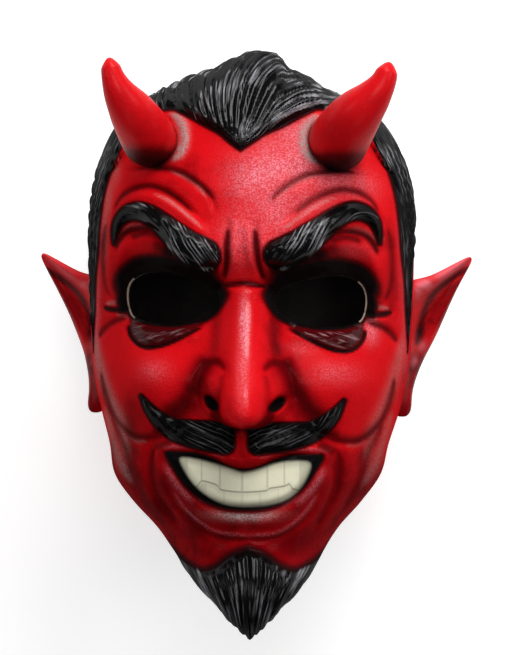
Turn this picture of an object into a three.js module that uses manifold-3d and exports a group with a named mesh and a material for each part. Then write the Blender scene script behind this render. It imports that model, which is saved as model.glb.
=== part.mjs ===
// Devil mask: a full-head latex mask, slush-cast in one piece with its horns, ears, hair, brows,
// moustache, teeth and goatee. Millimetres. It lies on the back of the head with the face up:
// +X is the viewer's right, +Y runs to the top of the head, +Z comes out of the face.
import * as THREE from 'three';
import { mergeVertices } from 'three/addons/utils/BufferGeometryUtils.js';
import Module from 'manifold-3d';

const wasm = await Module();
wasm.setup();

// Driving dimensions of the skin
const WALL = 3.6;
const NOSE_HOLLOW = 0.7;
const TEETH_CLEARANCE = 4;
const REST_DEPTH = 8;
const HEAD_SQUARENESS = 2.15;
const CAVITY_BOTTOM = -109;
const CAVITY_TOP = 127;
const CAVITY_MIDDLE = 112;
const INSIDE_RELIEF = 0.85;
const GRID_COLUMNS = 40;
const GRID_ROWS = 38;
const CAVITY_COLUMNS = 20;
const CAVITY_ROWS = 18;
const LOCK_SIDES = 5;
const LOCK_STEPS = 6;
const LINE_STEPS = 16;

// Cross-sections from the goatee's tip to the crown: height, half width, and the front and back
// of the section on the centre line
const SECTIONS = [
  { y: -142, half: 0, front: 200, back: 200 },
  { y: -138, half: 5, front: 205, back: 194 },
  { y: -130, half: 13, front: 209, back: 186 },
  { y: -121, half: 21.5, front: 210, back: 176 },
  { y: -112, half: 29.6, front: 208, back: 150 },
  { y: -103, half: 36.8, front: 202, back: 90 },
  { y: -93, half: 45.3, front: 197, back: 40 },
  { y: -81, half: 57.2, front: 196, back: 14 },
  { y: -68, half: 66.6, front: 195, back: 6 },
  { y: -53, half: 70, front: 193, back: 0 },
  { y: -36, half: 75, front: 191, back: -4 },
  { y: -17, half: 79.2, front: 189, back: -7 },
  { y: 4, half: 80.8, front: 186, back: -REST_DEPTH },
  { y: 26, half: 81.6, front: 187, back: -REST_DEPTH },
  { y: 47, half: 82, front: 190, back: -REST_DEPTH },
  { y: 65, half: 82, front: 188, back: -7 },
  { y: 80, half: 79.5, front: 183, back: -1 },
  { y: 93, half: 74.5, front: 177, back: 9 },
  { y: 104, half: 68, front: 172, back: 22 },
  { y: 113, half: 59, front: 166, back: 37 },
  { y: 120.5, half: 47, front: 158, back: 56 },
  { y: 125.5, half: 33, front: 149, back: 76 },
  { y: 128.5, half: 17, front: 139, back: 96 },
  { y: 129.5, half: 0, front: 118, back: 118 },
];

// Curves of the face as [x, y] on the right-hand side, mirrored for the left
const BROW_LINE = [[14, 36], [22, 41], [36, 51], [48, 59], [57, 60], [63, 53], [65, 43]];
const EYE_HOLE = [[13, 15], [17, 23.5], [30, 28.8], [44, 30.4], [53, 26], [55.8, 15.5], [51, 7.5], [38, 5.6],
  [22, 8]];
const EYE_HOLE_STEPS = 20;
const EYE_BAG = [[17, 5], [30, -2], [43, -6], [54, 0], [57, 9]];
const CHEEK_FOLD = [[21, -22], [30, -38], [42, -46], [46, -58], [42, -72], [32, -84]];
const JOWL_FOLD = [[66, -28], [58, -45], [56, -60], [50, -76], [40, -92]];
const FOREHEAD_FOLD = [[60, 69], [51, 72], [39, 69], [28.7, 63], [20, 56]];
const UPPER_FOLD = [[45, 82], [37, 79.5], [28, 75.6], [18, 70], [14, 64]];
const FROWN_LINE = [[5, 50], [4, 42], [9, 30]];

// Rises and hollows of the face: the broad ones shape the inside of the skin too
const MOUNDS = [
  { name: 'cheek', x: 47, y: -19, wide: 21, tall: 22, rise: 11 },
  { name: 'between the brows', x: 0, y: 41, wide: 11, tall: 13, rise: 5 },
  { name: 'chin', x: 0, y: -88, wide: 25, tall: 10, rise: 6 },
  { name: 'eye socket', x: 34, y: 16, wide: 27, tall: 13, rise: -6 },
];
const BROW_RIDGE = { line: BROW_LINE, width: 11, rise: 7 };
const MUZZLE = { name: 'muzzle', x: 0, y: -54, wide: 32, tall: 18, rise: 9 };
const TEETH_BACK = { name: 'behind the teeth', x: 0, y: -62, wide: 40, tall: 18, rise: -TEETH_CLEARANCE };
const FOLDS = [
  { line: EYE_BAG, width: 4, rise: 3.5 },
  { line: CHEEK_FOLD, width: 4, rise: -4 },
  { line: JOWL_FOLD, width: 4, rise: -2.5 },
  { line: FOREHEAD_FOLD, width: 3.5, rise: -2.5 },
  { line: UPPER_FOLD, width: 3.5, rise: -2 },
  { line: FROWN_LINE, width: 3, rise: -2.5 },
];
const NOSE_TOP = 30;
const NOSE_BOTTOM = -43;
const NOSE_HALF = 13.5;
const NOSE_HEIGHTS = [3, 9, 16, 24, 34, 44, 44];
const WING_SIZE = [8, 10, 13];
const WING_PLACE = [13, -29, 17];
const MOUTH_TOP = [[-22, -56], [0, -62.5], [22, -56], [37, -56]];
const MOUTH_BOTTOM = [[32, -65.5], [20, -75.5], [0, -80], [-20, -75.5], [-32, -65.5], [-37, -56]];
const MOUTH_FLOOR = 191.5;
const TEETH_FRONT = 199.5;
const TEETH_CURVE = 0.0075;
const TEETH_ROWS = [{ count: 8, half: 31, y: -61, height: 15 }, { count: 6, half: 22, y: -74, height: 9 }];
const TOOTH_GAP = 0.6;
const LIP_RISE = 5;

// Horns, ears and hair
const HORN_PATH = [[42.5, 88.5, 158], [46.5, 95.5, 177], [52.5, 104.5, 191], [59.3, 113.5, 198],
  [63.6, 121.5, 200.5], [66.1, 130.6, 200.5]];
const HORN_RADII = [13.5, 13.5, 11, 7.6, 5.1, 3.7];
const HORN_TIP = 0.06;
const HORN_ROOT = 0.08;
const HORN_CROWDING = 1.5;
// Lean to +X, as a slope and the height where it is nothing
const HORN_LEAN = [0.05, 102];
const EAR_INNER = [[75, -39, 98], [70, -22, 106], [70, 6, 106], [72, 22, 101], [87, 34.5, 90],
  [108.8, 43, 70]];
const EAR_OUTER = [[83, -39, 92], [83.6, -27, 84], [87.2, -12, 77], [94, 3, 72], [102.3, 20, 69.5],
  [111.4, 38.8, 67]];
const EAR_LEAN = [0.04, -6];
const EAR_THICKNESS = 7;
const HAIR_RISE = 4;
const HAIRLINE = [[0, 88], [6.4, 93.9], [18, 101.5], [40, 109], [57, 106], [63, 93], [70, 76], [74, 53],
  [76.7, 27], [78, -6]];
const LOCK_SINK = 3;
const TOP_LOCKS = 5;
const SIDE_LOCKS = 3;
const SIDE_LOCK_TOP = 102;
const SIDE_LOCK_END = 2;
const SIDE_LOCK_PITCH = 0.22;
const GOATEE_LOCKS = 3;

// Rim of the neck opening as [z, y], seen from the side, closed below and behind the head
const NECK_RIM = [[178, -160], [176, -132], [166, -115], [142, -103], [120, -94], [104, -84], [90, -74],
  [76, -65], [46, -67], [20, -72], [-20, -78], [-20, -160]];

// Scalar Catmull-Rom through equally spaced values, at t from 0 to 1
function blend(values, t) {
  const last = values.length - 1;
  const place = Math.min(Math.max(t, 0), 1) * last;
  const i = Math.min(Math.floor(place), last - 1);
  const f = place - i;
  const b = values[i];
  const c = values[i + 1];
  const a = i > 0 ? values[i - 1] : 2 * b - c;
  const d = i + 2 <= last ? values[i + 2] : 2 * c - b;
  return b + 0.5 * f * (c - a + f * (2 * a - 5 * b + 4 * c - d + f * (3 * (b - c) + d - a)));
}

function smoothStep(low, high, value) {
  const t = Math.min(Math.max((value - low) / (high - low), 0), 1);
  return t * t * (3 - 2 * t);
}

const sectionValues = {};
for (const key of ['y', 'half', 'front', 'back']) {
  sectionValues[key] = SECTIONS.map((section) => section[key]);
}

function sectionAt(t) {
  const section = {};
  for (const key of Object.keys(sectionValues)) {
    section[key] = blend(sectionValues[key], t);
  }
  return section;
}

// The place along the sections whose height is y
function placeOfHeight(y) {
  let low = 0;
  let high = 1;
  for (let i = 0; i < 30; i += 1) {
    const middle = (low + high) / 2;
    if (blend(sectionValues.y, middle) < y) {
      low = middle;
    } else {
      high = middle;
    }
  }
  return (low + high) / 2;
}

// A point of the plain head: t runs from goatee to crown, angle 0 is the front centre line
function headPoint(t, angle, inset = 0) {
  const { y, half, front, back } = sectionAt(t);
  const middle = (front + back) / 2;
  const depth = Math.max((front - back) / 2 - inset, 0);
  const width = Math.max(half - inset, 0);
  const power = 2 / HEAD_SQUARENESS;
  const s = Math.sin(angle);
  const c = Math.cos(angle);
  const x = width * Math.sign(s) * Math.abs(s) ** power;
  const z = middle + depth * Math.sign(c) * Math.abs(c) ** power;
  return new THREE.Vector3(x, y, z);
}

function sampleLine(line, count) {
  const points = [];
  for (let i = 0; i <= count; i += 1) {
    const x = blend(line.map((point) => point[0]), i / count);
    const y = blend(line.map((point) => point[1]), i / count);
    points.push([x, y]);
  }
  return points;
}

function distanceToLine(x, y, points) {
  let nearest = Infinity;
  for (let i = 1; i < points.length; i += 1) {
    const [ax, ay] = points[i - 1];
    const [bx, by] = points[i];
    const length = (bx - ax) ** 2 + (by - ay) ** 2;
    const t = Math.min(Math.max(((x - ax) * (bx - ax) + (y - ay) * (by - ay)) / length, 0), 1);
    nearest = Math.min(nearest, Math.hypot(x - ax - t * (bx - ax), y - ay - t * (by - ay)));
  }
  return nearest;
}

for (const stroke of [BROW_RIDGE, ...FOLDS]) {
  stroke.points = sampleLine(stroke.line, LINE_STEPS);
}
const hairlinePoints = sampleLine(HAIRLINE, LINE_STEPS);

function strokeRise(x, y, { points, width, rise }) {
  return rise * Math.exp(-((distanceToLine(x, y, points) / width) ** 2));
}

function moundRise(x, y, mound) {
  const across = (x - mound.x) / mound.wide;
  const up = (y - mound.y) / mound.tall;
  return mound.rise * Math.exp(-(across ** 2) - up ** 2);
}

// Height of the nose over the plain head, from 0 at its root
function noseProfile(down) {
  return blend(NOSE_HEIGHTS, down);
}

// Hollow of the nose, seen from inside
function noseHollow(x, y) {
  const down = (NOSE_TOP - y) / (NOSE_TOP - NOSE_BOTTOM);
  if (down < 0 || down > 1) {
    return 0;
  }
  const ends = Math.sqrt(1 - (2 * down - 1) ** 4) * smoothStep(0.15, 0.6, down);
  return noseProfile(down) * ends * Math.exp(-((x / NOSE_HALF) ** 2));
}

// Broad forms, which the inside of the skin follows too
function broadRelief(x, y) {
  let z = strokeRise(x, y, BROW_RIDGE);
  for (const mound of MOUNDS) {
    z += moundRise(x, y, mound);
  }
  return z;
}

function hairMask(x, y) {
  const inside = y > 112 || x > 78;
  let line = -1;
  if (!inside) {
    const index = hairlinePoints.findIndex((point, i) => i > 0 && point[0] >= x);
    const near = hairlinePoints[Math.max(index, 1)];
    const before = hairlinePoints[Math.max(index, 1) - 1];
    const t = (x - before[0]) / Math.max(near[0] - before[0], 0.01);
    line = x < 57 ? before[1] + t * (near[1] - before[1]) : near[1];
  }
  return inside ? 1 : smoothStep(0, 3, y - line);
}

function relief(signedX, y) {
  const x = Math.abs(signedX);
  let z = broadRelief(x, y) + moundRise(x, y, MUZZLE);
  for (const fold of FOLDS) {
    z += strokeRise(x, y, fold);
  }
  return z + HAIR_RISE * hairMask(x, y);
}

// Ordinary geometry to a solid, and back
function toSolid(geometry) {
  const plain = geometry.clone();
  plain.deleteAttribute('normal');
  plain.deleteAttribute('uv');
  const merged = mergeVertices(plain, 1e-4);
  const vertProperties = new Float32Array(merged.attributes.position.array);
  const triVerts = new Uint32Array(merged.index.array);
  return new wasm.Manifold(new wasm.Mesh({ numProp: 3, vertProperties, triVerts }));
}

function toGeometry(solid) {
  const mesh = solid.getMesh();
  const geometry = new THREE.BufferGeometry();
  geometry.setAttribute('position', new THREE.BufferAttribute(new Float32Array(mesh.vertProperties), 3));
  geometry.setIndex(new THREE.BufferAttribute(new Uint32Array(mesh.triVerts), 1));
  geometry.computeVertexNormals();
  return geometry;
}

// A sphere's grid carried onto any closed surface: place(across, along) with both from 0 to 1
function closedSurface(columns, rows, place) {
  const geometry = new THREE.SphereGeometry(1, columns, rows);
  const position = geometry.attributes.position;
  for (let row = 0; row <= rows; row += 1) {
    for (let column = 0; column <= columns; column += 1) {
      const point = place((column % columns) / columns, row / rows);
      position.setXYZ(row * (columns + 1) + column, point.x, point.y, point.z);
    }
  }
  return geometry;
}

// Angle round the head, with the columns closer together on the face
function faceAngle(across) {
  const s = 2 * across - 1;
  return Math.PI * (0.62 * s + 0.38 * s ** 3);
}

function headSurface() {
  return closedSurface(GRID_COLUMNS, GRID_ROWS, (across, along) => {
    const angle = faceAngle(across);
    const point = headPoint(1 - along, angle);
    const { half } = sectionAt(1 - along);
    const facing = smoothStep(-0.1, 0.35, Math.cos(angle)) * smoothStep(0, 16, half);
    point.z += relief(point.x, point.y) * facing;
    return point;
  });
}

function cavitySurface() {
  return closedSurface(CAVITY_COLUMNS, CAVITY_ROWS, (across, along) => {
    const angle = faceAngle(across);
    const low = placeOfHeight(CAVITY_BOTTOM);
    const high = placeOfHeight(CAVITY_TOP);
    const t = high + (low - high) * along;
    const ends = Math.sqrt(smoothStep(0, 0.16, along) * smoothStep(0, 0.06, 1 - along));
    const point = headPoint(t, angle, WALL);
    point.x *= ends;
    point.z = CAVITY_MIDDLE + (point.z - CAVITY_MIDDLE) * ends;
    const x = Math.abs(point.x);
    let inside = INSIDE_RELIEF * broadRelief(x, point.y) + NOSE_HOLLOW * noseHollow(x, point.y);
    inside += moundRise(x, point.y, TEETH_BACK);
    point.z += inside * smoothStep(0, 0.4, Math.cos(angle)) * ends;
    point.z = Math.max(point.z, WALL);
    return point;
  });
}

// A tapered bar bent along a curve; section(t) gives its half width and half height
function sweep(path, section, sides = LOCK_SIDES, steps = LOCK_STEPS) {
  const curve = new THREE.CatmullRomCurve3(path);
  const front = new THREE.Vector3(0, 0, 1);
  return closedSurface(sides, steps, (across, along) => {
    const centre = curve.getPoint(along);
    const ahead = curve.getTangent(along);
    const side = new THREE.Vector3().crossVectors(ahead, front).normalize();
    const up = new THREE.Vector3().crossVectors(side, ahead).normalize();
    const { width, height } = section(along);
    const end = Math.sqrt(1 - (2 * along - 1) ** 4);
    const turn = across * 2 * Math.PI;
    return centre
      .addScaledVector(side, Math.cos(turn) * width * end)
      .addScaledVector(up, Math.sin(turn) * height * end);
  });
}

// Height of the finished face at a point of the front view
function faceHeight(x, y) {
  const { half, front, back } = sectionAt(placeOfHeight(y));
  const middle = (front + back) / 2;
  const reach = Math.min(Math.abs(x) / half, 0.999);
  const rise = (1 - reach ** HEAD_SQUARENESS) ** (1 / HEAD_SQUARENESS);
  return middle + ((front - back) / 2) * rise + relief(x, y);
}

function onFace(points, sideSign, lift) {
  return points.map(([x, y]) => new THREE.Vector3(sideSign * x, y, faceHeight(x, y) + lift));
}

function brow(sideSign) {
  const path = onFace(BROW_LINE, sideSign, 1);
  return sweep(path, (t) => ({ width: 8 - 5.5 * t ** 3, height: 5.5 - 3.5 * t * t }), 6, 9);
}

function moustacheHalf(sideSign) {
  const solids = [];
  const strands = [
    [[1, -47], [12, -50.5], [26, -48], [38, -41], [47, -30]],
    [[2, -43], [12, -44], [24, -42], [35, -37.5], [43, -32]],
    [[2, -52], [12, -55], [24, -53], [34, -47], [42, -39]],
  ];
  for (const strand of strands) {
    const path = onFace(strand, sideSign, -LOCK_SINK);
    solids.push(sweep(path, (t) => ({ width: 4.4 - 3.2 * t, height: LOCK_SINK + 6 - 4 * t })));
  }
  return solids;
}

function lowerLip() {
  const line = [[-34, -66], [-26, -77], [-12, -84], [0, -85.5], [12, -84], [26, -77], [34, -66]];
  const path = line.map(([x, y]) => new THREE.Vector3(x, y, faceHeight(x, y) - LOCK_SINK));
  return sweep(path, () => ({ width: 4.6, height: LOCK_SINK + LIP_RISE }), LOCK_SIDES, 9);
}

function upperLip(sideSign) {
  const path = onFace([[0, -58], [10, -55], [22, -51.5], [33, -51.5], [40, -57]], sideSign, -LOCK_SINK);
  return sweep(path, (t) => ({ width: 3.2 - t, height: LOCK_SINK + LIP_RISE - 2 * t }));
}

// Two rows of teeth set round an arc, and the recess of the mouth that they stand in
function teeth() {
  const solids = [];
  for (const { count, half, y, height } of TEETH_ROWS) {
    const pitch = (2 * half) / count;
    for (let i = 0; i < count; i += 1) {
      const x = (i - (count - 1) / 2) * pitch;
      const front = TEETH_FRONT - TEETH_CURVE * x * x;
      const depth = front - MOUTH_FLOOR + 2;
      const tall = height - 5 * (x / half) ** 2;
      const tooth = new THREE.BoxGeometry(pitch - TOOTH_GAP, tall, depth);
      tooth.rotateY(2 * TEETH_CURVE * x);
      tooth.translate(x, y + Math.abs(x) * 0.06, front - depth / 2);
      solids.push(tooth);
    }
  }
  return solids;
}

function mouthCutter() {
  const toVector = ([x, y]) => new THREE.Vector2(x, y);
  const shape = new THREE.Shape();
  shape.moveTo(-37, -56);
  shape.splineThru(MOUTH_TOP.map(toVector));
  shape.splineThru(MOUTH_BOTTOM.map(toVector));
  const geometry = new THREE.ExtrudeGeometry(shape, { depth: 40, bevelEnabled: false, curveSegments: 3 });
  geometry.translate(0, 0, MOUTH_FLOOR);
  return geometry;
}

function nose() {
  const solids = [];
  const path = [];
  for (let k = 0; k <= 6; k += 1) {
    const y = NOSE_TOP + (NOSE_BOTTOM - NOSE_TOP) * (k / 6);
    path.push(new THREE.Vector3(0, y, sectionAt(placeOfHeight(y)).front - LOCK_SINK));
  }
  const section = (t) => ({ width: NOSE_HALF * (0.68 + 0.36 * t), height: noseProfile(t) + LOCK_SINK });
  solids.push(sweep(path, section, 10, 10));
  const [x, y, lift] = WING_PLACE;
  for (const sideSign of [-1, 1]) {
    const wing = new THREE.SphereGeometry(1, 8, 6);
    wing.scale(...WING_SIZE);
    wing.translate(sideSign * x, y, faceHeight(x, y) + lift - WING_SIZE[2]);
    solids.push(wing);
  }
  return solids;
}

function horn(sideSign) {
  const path = HORN_PATH.map(([x, y, z]) => new THREE.Vector3(sideSign * x, y, z));
  const curve = new THREE.CatmullRomCurve3(path);
  const inward = new THREE.Vector3(-sideSign, 0, 0);
  return closedSurface(10, 10, (across, along) => {
    const t = 1 - (1 - along) ** HORN_CROWDING;
    const centre = curve.getPoint(t);
    const ahead = curve.getTangent(t);
    const side = new THREE.Vector3().crossVectors(ahead, inward).normalize();
    const up = new THREE.Vector3().crossVectors(side, ahead).normalize();
    const turn = across * 2 * Math.PI;
    const cap = Math.min(smoothStep(0, HORN_ROOT, t), Math.sqrt(Math.max(1 - t, 0) / HORN_TIP), 1);
    const radius = blend(HORN_RADII, t) * cap;
    centre.x += HORN_LEAN[0] * (centre.y - HORN_LEAN[1]);
    return centre
      .addScaledVector(side, Math.cos(turn) * radius)
      .addScaledVector(up, Math.sin(turn) * radius);
  });
}

function ear(sideSign) {
  const inner = new THREE.CatmullRomCurve3(EAR_INNER.map(([x, y, z]) => new THREE.Vector3(x, y, z)));
  const outer = new THREE.CatmullRomCurve3(EAR_OUTER.map(([x, y, z]) => new THREE.Vector3(x, y, z)));
  return closedSurface(12, 11, (across, along) => {
    const turn = sideSign * across * 2 * Math.PI;
    const end = Math.sin(Math.PI * along) ** 0.4 || 0;
    const reach = 0.5 + 0.5 * Math.cos(turn);
    const point = inner.getPoint(along).lerp(outer.getPoint(along), 0.5 + (reach - 0.5) * end);
    const face = Math.sin(turn);
    const rim = Math.exp(-(((reach - 0.86) / 0.12) ** 2));
    const bowl = Math.sin(Math.PI * Math.min(reach / 0.8, 1)) * (face > 0 ? -4.5 : -3);
    point.z += (face * EAR_THICKNESS * 0.5 + bowl + rim * 2.5) * end;
    point.x = point.x * sideSign + EAR_LEAN[0] * (point.y - EAR_LEAN[1]);
    return point;
  });
}

// Locks of the quiff, fanned from the widow's peak over the crown
function topLocks(sideSign) {
  const solids = [];
  for (let i = 0; i < TOP_LOCKS; i += 1) {
    const spread = (i + 0.5) / TOP_LOCKS;
    const path = [];
    for (let k = 0; k <= 4; k += 1) {
      const f = k / 4;
      const fromAngle = 0.02 + spread * 0.62;
      const toAngle = 0.12 + spread * 1.75;
      const angle = sideSign * (fromAngle + (toAngle - fromAngle) * f ** 1.3);
      const low = placeOfHeight(84 + 22 * Math.min(spread * 1.5, 1));
      const high = placeOfHeight(129) - 0.02 * spread;
      const point = headPoint(low + (high - low) * f, angle, LOCK_SINK);
      point.z += HAIR_RISE * smoothStep(-0.1, 0.35, Math.cos(angle));
      path.push(point);
    }
    solids.push(sweep(path, (t) => ({ width: 5.5 - 1.5 * t, height: LOCK_SINK + HAIR_RISE + 2.5 - t })));
  }
  return solids;
}

// Tuft over the middle of the quiff, leaning to +X
function tuft(x, lean, tip) {
  const path = [
    new THREE.Vector3(x, 100, faceHeight(x, 100) - LOCK_SINK),
    new THREE.Vector3(x + lean * 0.3, 117, faceHeight(x, 117) - LOCK_SINK),
    new THREE.Vector3(x + lean * 0.7, tip - 9, 146),
    new THREE.Vector3(x + lean, tip, 133),
  ];
  return sweep(path, (t) => ({ width: 9 - 4 * t, height: LOCK_SINK + 6 - 2 * t }));
}

// Locks combed down the temples to the sideburns
function sideLocks(sideSign) {
  const solids = [];
  for (let i = 0; i < SIDE_LOCKS; i += 1) {
    const path = [];
    for (let k = 0; k <= 4; k += 1) {
      const f = k / 4;
      const y = SIDE_LOCK_TOP - (SIDE_LOCK_TOP - SIDE_LOCK_END + 6 * i) * f;
      const angle = sideSign * (1.0 + SIDE_LOCK_PITCH * i + 0.3 * f);
      path.push(headPoint(placeOfHeight(y), angle, LOCK_SINK));
    }
    solids.push(sweep(path, (t) => ({ width: 7 - 2 * t, height: LOCK_SINK + 3.5 - t })));
  }
  return solids;
}

function goateeLocks(sideSign) {
  const solids = [];
  for (let i = 0; i < GOATEE_LOCKS; i += 1) {
    const x = 5 + i * 9.5;
    const path = [[x, -99 - 4 * i], [x * 0.9, -112], [x * 0.62, -124], [x * 0.25, -136 + 2 * i]];
    const curve = onFace(path, sideSign, -0.5);
    solids.push(sweep(curve, (t) => ({ width: 4.8 - 3.2 * t, height: 4.5 - 2.5 * t })));
  }
  return solids;
}

// Prism of the eye opening, deep enough to pass the front wall only
function eyeCutter(sideSign) {
  const outline = new THREE.CatmullRomCurve3(
    EYE_HOLE.map(([x, y]) => new THREE.Vector3(sideSign * x, y, 0)),
    true,
  );
  const points = outline.getPoints(EYE_HOLE_STEPS).slice(0, EYE_HOLE_STEPS);
  const shape = new THREE.Shape(points.map((point) => new THREE.Vector2(point.x, point.y)));
  const geometry = new THREE.ExtrudeGeometry(shape, { depth: 120, bevelEnabled: false });
  geometry.translate(0, 0, 125);
  return geometry;
}

// Everything under the jaw and behind the goatee, as seen from the side
function neckCutter() {
  const shape = new THREE.Shape(NECK_RIM.map(([z, y]) => new THREE.Vector2(-z, y)));
  const geometry = new THREE.ExtrudeGeometry(shape, { depth: 240, bevelEnabled: false });
  geometry.translate(0, 0, -120);
  geometry.rotateY(Math.PI / 2);
  return geometry;
}

function restCutter() {
  const geometry = new THREE.BoxGeometry(300, 400, 60);
  geometry.translate(0, 0, -30);
  return geometry;
}

function joinAll(geometries) {
  let solid = toSolid(geometries[0]);
  for (const geometry of geometries.slice(1)) {
    solid = solid.add(toSolid(geometry));
  }
  return solid;
}

const mouthParts = [...teeth(), lowerLip(), upperLip(-1), upperLip(1)];
const raised = [...nose(), tuft(-6, 2, 131), tuft(5, 8, 138)];
for (const sideSign of [-1, 1]) {
  raised.push(brow(sideSign), ...moustacheHalf(sideSign));
  raised.push(...topLocks(sideSign), ...sideLocks(sideSign), ...goateeLocks(sideSign));
  raised.push(horn(sideSign), ear(sideSign));
}

const head = toSolid(headSurface()).subtract(toSolid(mouthCutter()));
let skin = head.add(joinAll(mouthParts)).add(joinAll(raised));
for (const cutter of [cavitySurface(), eyeCutter(-1), eyeCutter(1), neckCutter(), restCutter()]) {
  skin = skin.subtract(toSolid(cutter));
}

const maskGeometry = toGeometry(skin);
maskGeometry.computeBoundingBox();
const box = maskGeometry.boundingBox;
maskGeometry.translate(-(box.min.x + box.max.x) / 2, -(box.min.y + box.max.y) / 2, -box.min.z);

const latex = new THREE.MeshStandardMaterial({ color: 0xb8141c, roughness: 0.32, metalness: 0 });
const mask = new THREE.Mesh(maskGeometry, latex);
mask.name = 'mask';

const group = new THREE.Group();
group.add(mask);
export default group;
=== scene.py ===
"""Looks of a full-head latex devil mask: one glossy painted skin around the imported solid.

Lengths are in millimetres until a mesh is finished. x runs across the face, y from the goatee to the
top of the head and z out of the face.
"""
import math

import bmesh
import bpy
import numpy as np
from mathutils import Matrix, Vector


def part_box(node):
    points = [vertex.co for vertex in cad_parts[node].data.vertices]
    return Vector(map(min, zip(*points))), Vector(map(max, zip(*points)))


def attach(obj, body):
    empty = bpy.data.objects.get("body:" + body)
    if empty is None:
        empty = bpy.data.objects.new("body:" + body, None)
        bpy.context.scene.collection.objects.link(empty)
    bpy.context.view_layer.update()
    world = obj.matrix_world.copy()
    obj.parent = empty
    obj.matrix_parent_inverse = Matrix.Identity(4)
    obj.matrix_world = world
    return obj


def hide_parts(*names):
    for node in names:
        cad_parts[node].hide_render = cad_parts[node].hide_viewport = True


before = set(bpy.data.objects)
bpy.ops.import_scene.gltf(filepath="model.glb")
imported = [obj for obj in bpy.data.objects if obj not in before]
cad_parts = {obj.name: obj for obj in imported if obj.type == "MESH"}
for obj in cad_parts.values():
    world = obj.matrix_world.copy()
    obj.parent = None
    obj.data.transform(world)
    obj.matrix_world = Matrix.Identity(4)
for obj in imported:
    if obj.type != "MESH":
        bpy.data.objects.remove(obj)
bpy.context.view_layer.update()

MM = 0.001

# Cross-sections from the goatee's tip to the crown: height, half width, and front and back in z
SECTIONS = [
    (-142, 0, 200, 200), (-138, 5, 205, 194), (-130, 13, 209, 186), (-121, 21.5, 210, 176),
    (-112, 29.6, 208, 150), (-103, 36.8, 202, 90), (-93, 45.3, 197, 40), (-81, 57.2, 196, 14),
    (-68, 66.6, 195, 6), (-53, 70, 193, 0), (-36, 75, 191, -4), (-17, 79.2, 189, -7),
    (4, 80.8, 186, -8), (26, 81.6, 187, -8), (47, 82, 190, -8), (65, 82, 188, -7),
    (80, 79.5, 183, -1), (93, 74.5, 177, 9), (104, 68, 172, 22), (113, 59, 166, 37),
    (120.5, 47, 158, 56), (125.5, 33, 149, 76), (128.5, 17, 139, 96), (129.5, 0, 118, 118),
]
LEFT_EAR_TIP = -108.2
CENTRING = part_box("mask")[0] / MM - Vector((LEFT_EAR_TIP, SECTIONS[0][0], 0))
SQUARENESS = 2.15
WALL = 3.6
# Columns and rows of each surface
SKIN_GRID = (264, 284)
CAVITY_GRID = (72, 60)
HORN_GRID = (44, 44)
EAR_GRID = (48, 56)
# How even, and how bunched towards the face, the columns are
SKIN_SPREAD = (0.5, 0.5)
CAVITY_SPREAD = (0.62, 0.38)

# The left half sits a little higher and is a little wider than the right
TILT = 0.02
LEFT_STRETCH = 0.975

# Where the middle of the face wanders to, by height
MIDLINE = [(-140, 0.6), (-97, 1.2), (-78, -1.0), (-48, -2.4), (-30, -0.8), (0, -0.6), (25, -1.2), (42, -2.5),
           (70, -2.5), (90, -3)]
MIDLINE_REACH = 32
# Brows, moustache and goatee lie above the first height, and the paint of mouth and eyes above the second
HAIR_FRONT = 110
FACE_FRONT = 130
# A signed distance that lies far outside
FAR_OUT = -99

BROW_LINE = [(18.2, 38.7), (22, 40.7), (27.5, 44), (34, 49.5), (42, 56.2), (49.5, 60), (56, 59.5),
             (60.7, 55.6), (62.8, 49.8), (63.4, 45.4)]
BROW_WIDTHS = [7.5, 7.2, 6.6, 5.6, 4.8, 4.3, 4.0, 3.2, 1.9, 0.4]
BROW_STRANDS = [(2, 31)] + BROW_LINE
BROW_STRAND_LENGTH = 78
BROW_RIDGE = [(14, 36), (22, 41), (36, 51), (48, 59), (57, 60), (63, 53), (65, 43)]
MOUSTACHE_LINE = [(8, -47.8), (12, -47.3), (18.4, -46.7), (26.9, -45.6), (33, -44.2), (38.5, -41),
                  (44, -35.6), (48.3, -29.2)]
MOUSTACHE_WIDTHS = [6.7, 6.5, 6.0, 5.2, 4.3, 3.3, 2.0, 0.3]
MOUSTACHE_STRANDS = [(-8, -53)] + MOUSTACHE_LINE
MOUSTACHE_STRAND_LENGTH = 80
MOUSTACHE_CENTRE = -2.3
MOUSTACHE_GAP = 3.4
# Above this height the nose hangs over the moustache and stays red
NOSE_FOOT = 207.0
EYE_HOLE = [(13.1, 17.2), (15, 22), (19.9, 25.5), (26.8, 27.8), (35.3, 29.8), (43.8, 30.4), (50.5, 28.8),
            (55.4, 24.6), (56.6, 17.4), (54.4, 9.6), (47.5, 6.6), (40.9, 5.8), (33.6, 5.7), (26.3, 7),
            (18.7, 9), (14, 13.1)]
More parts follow.
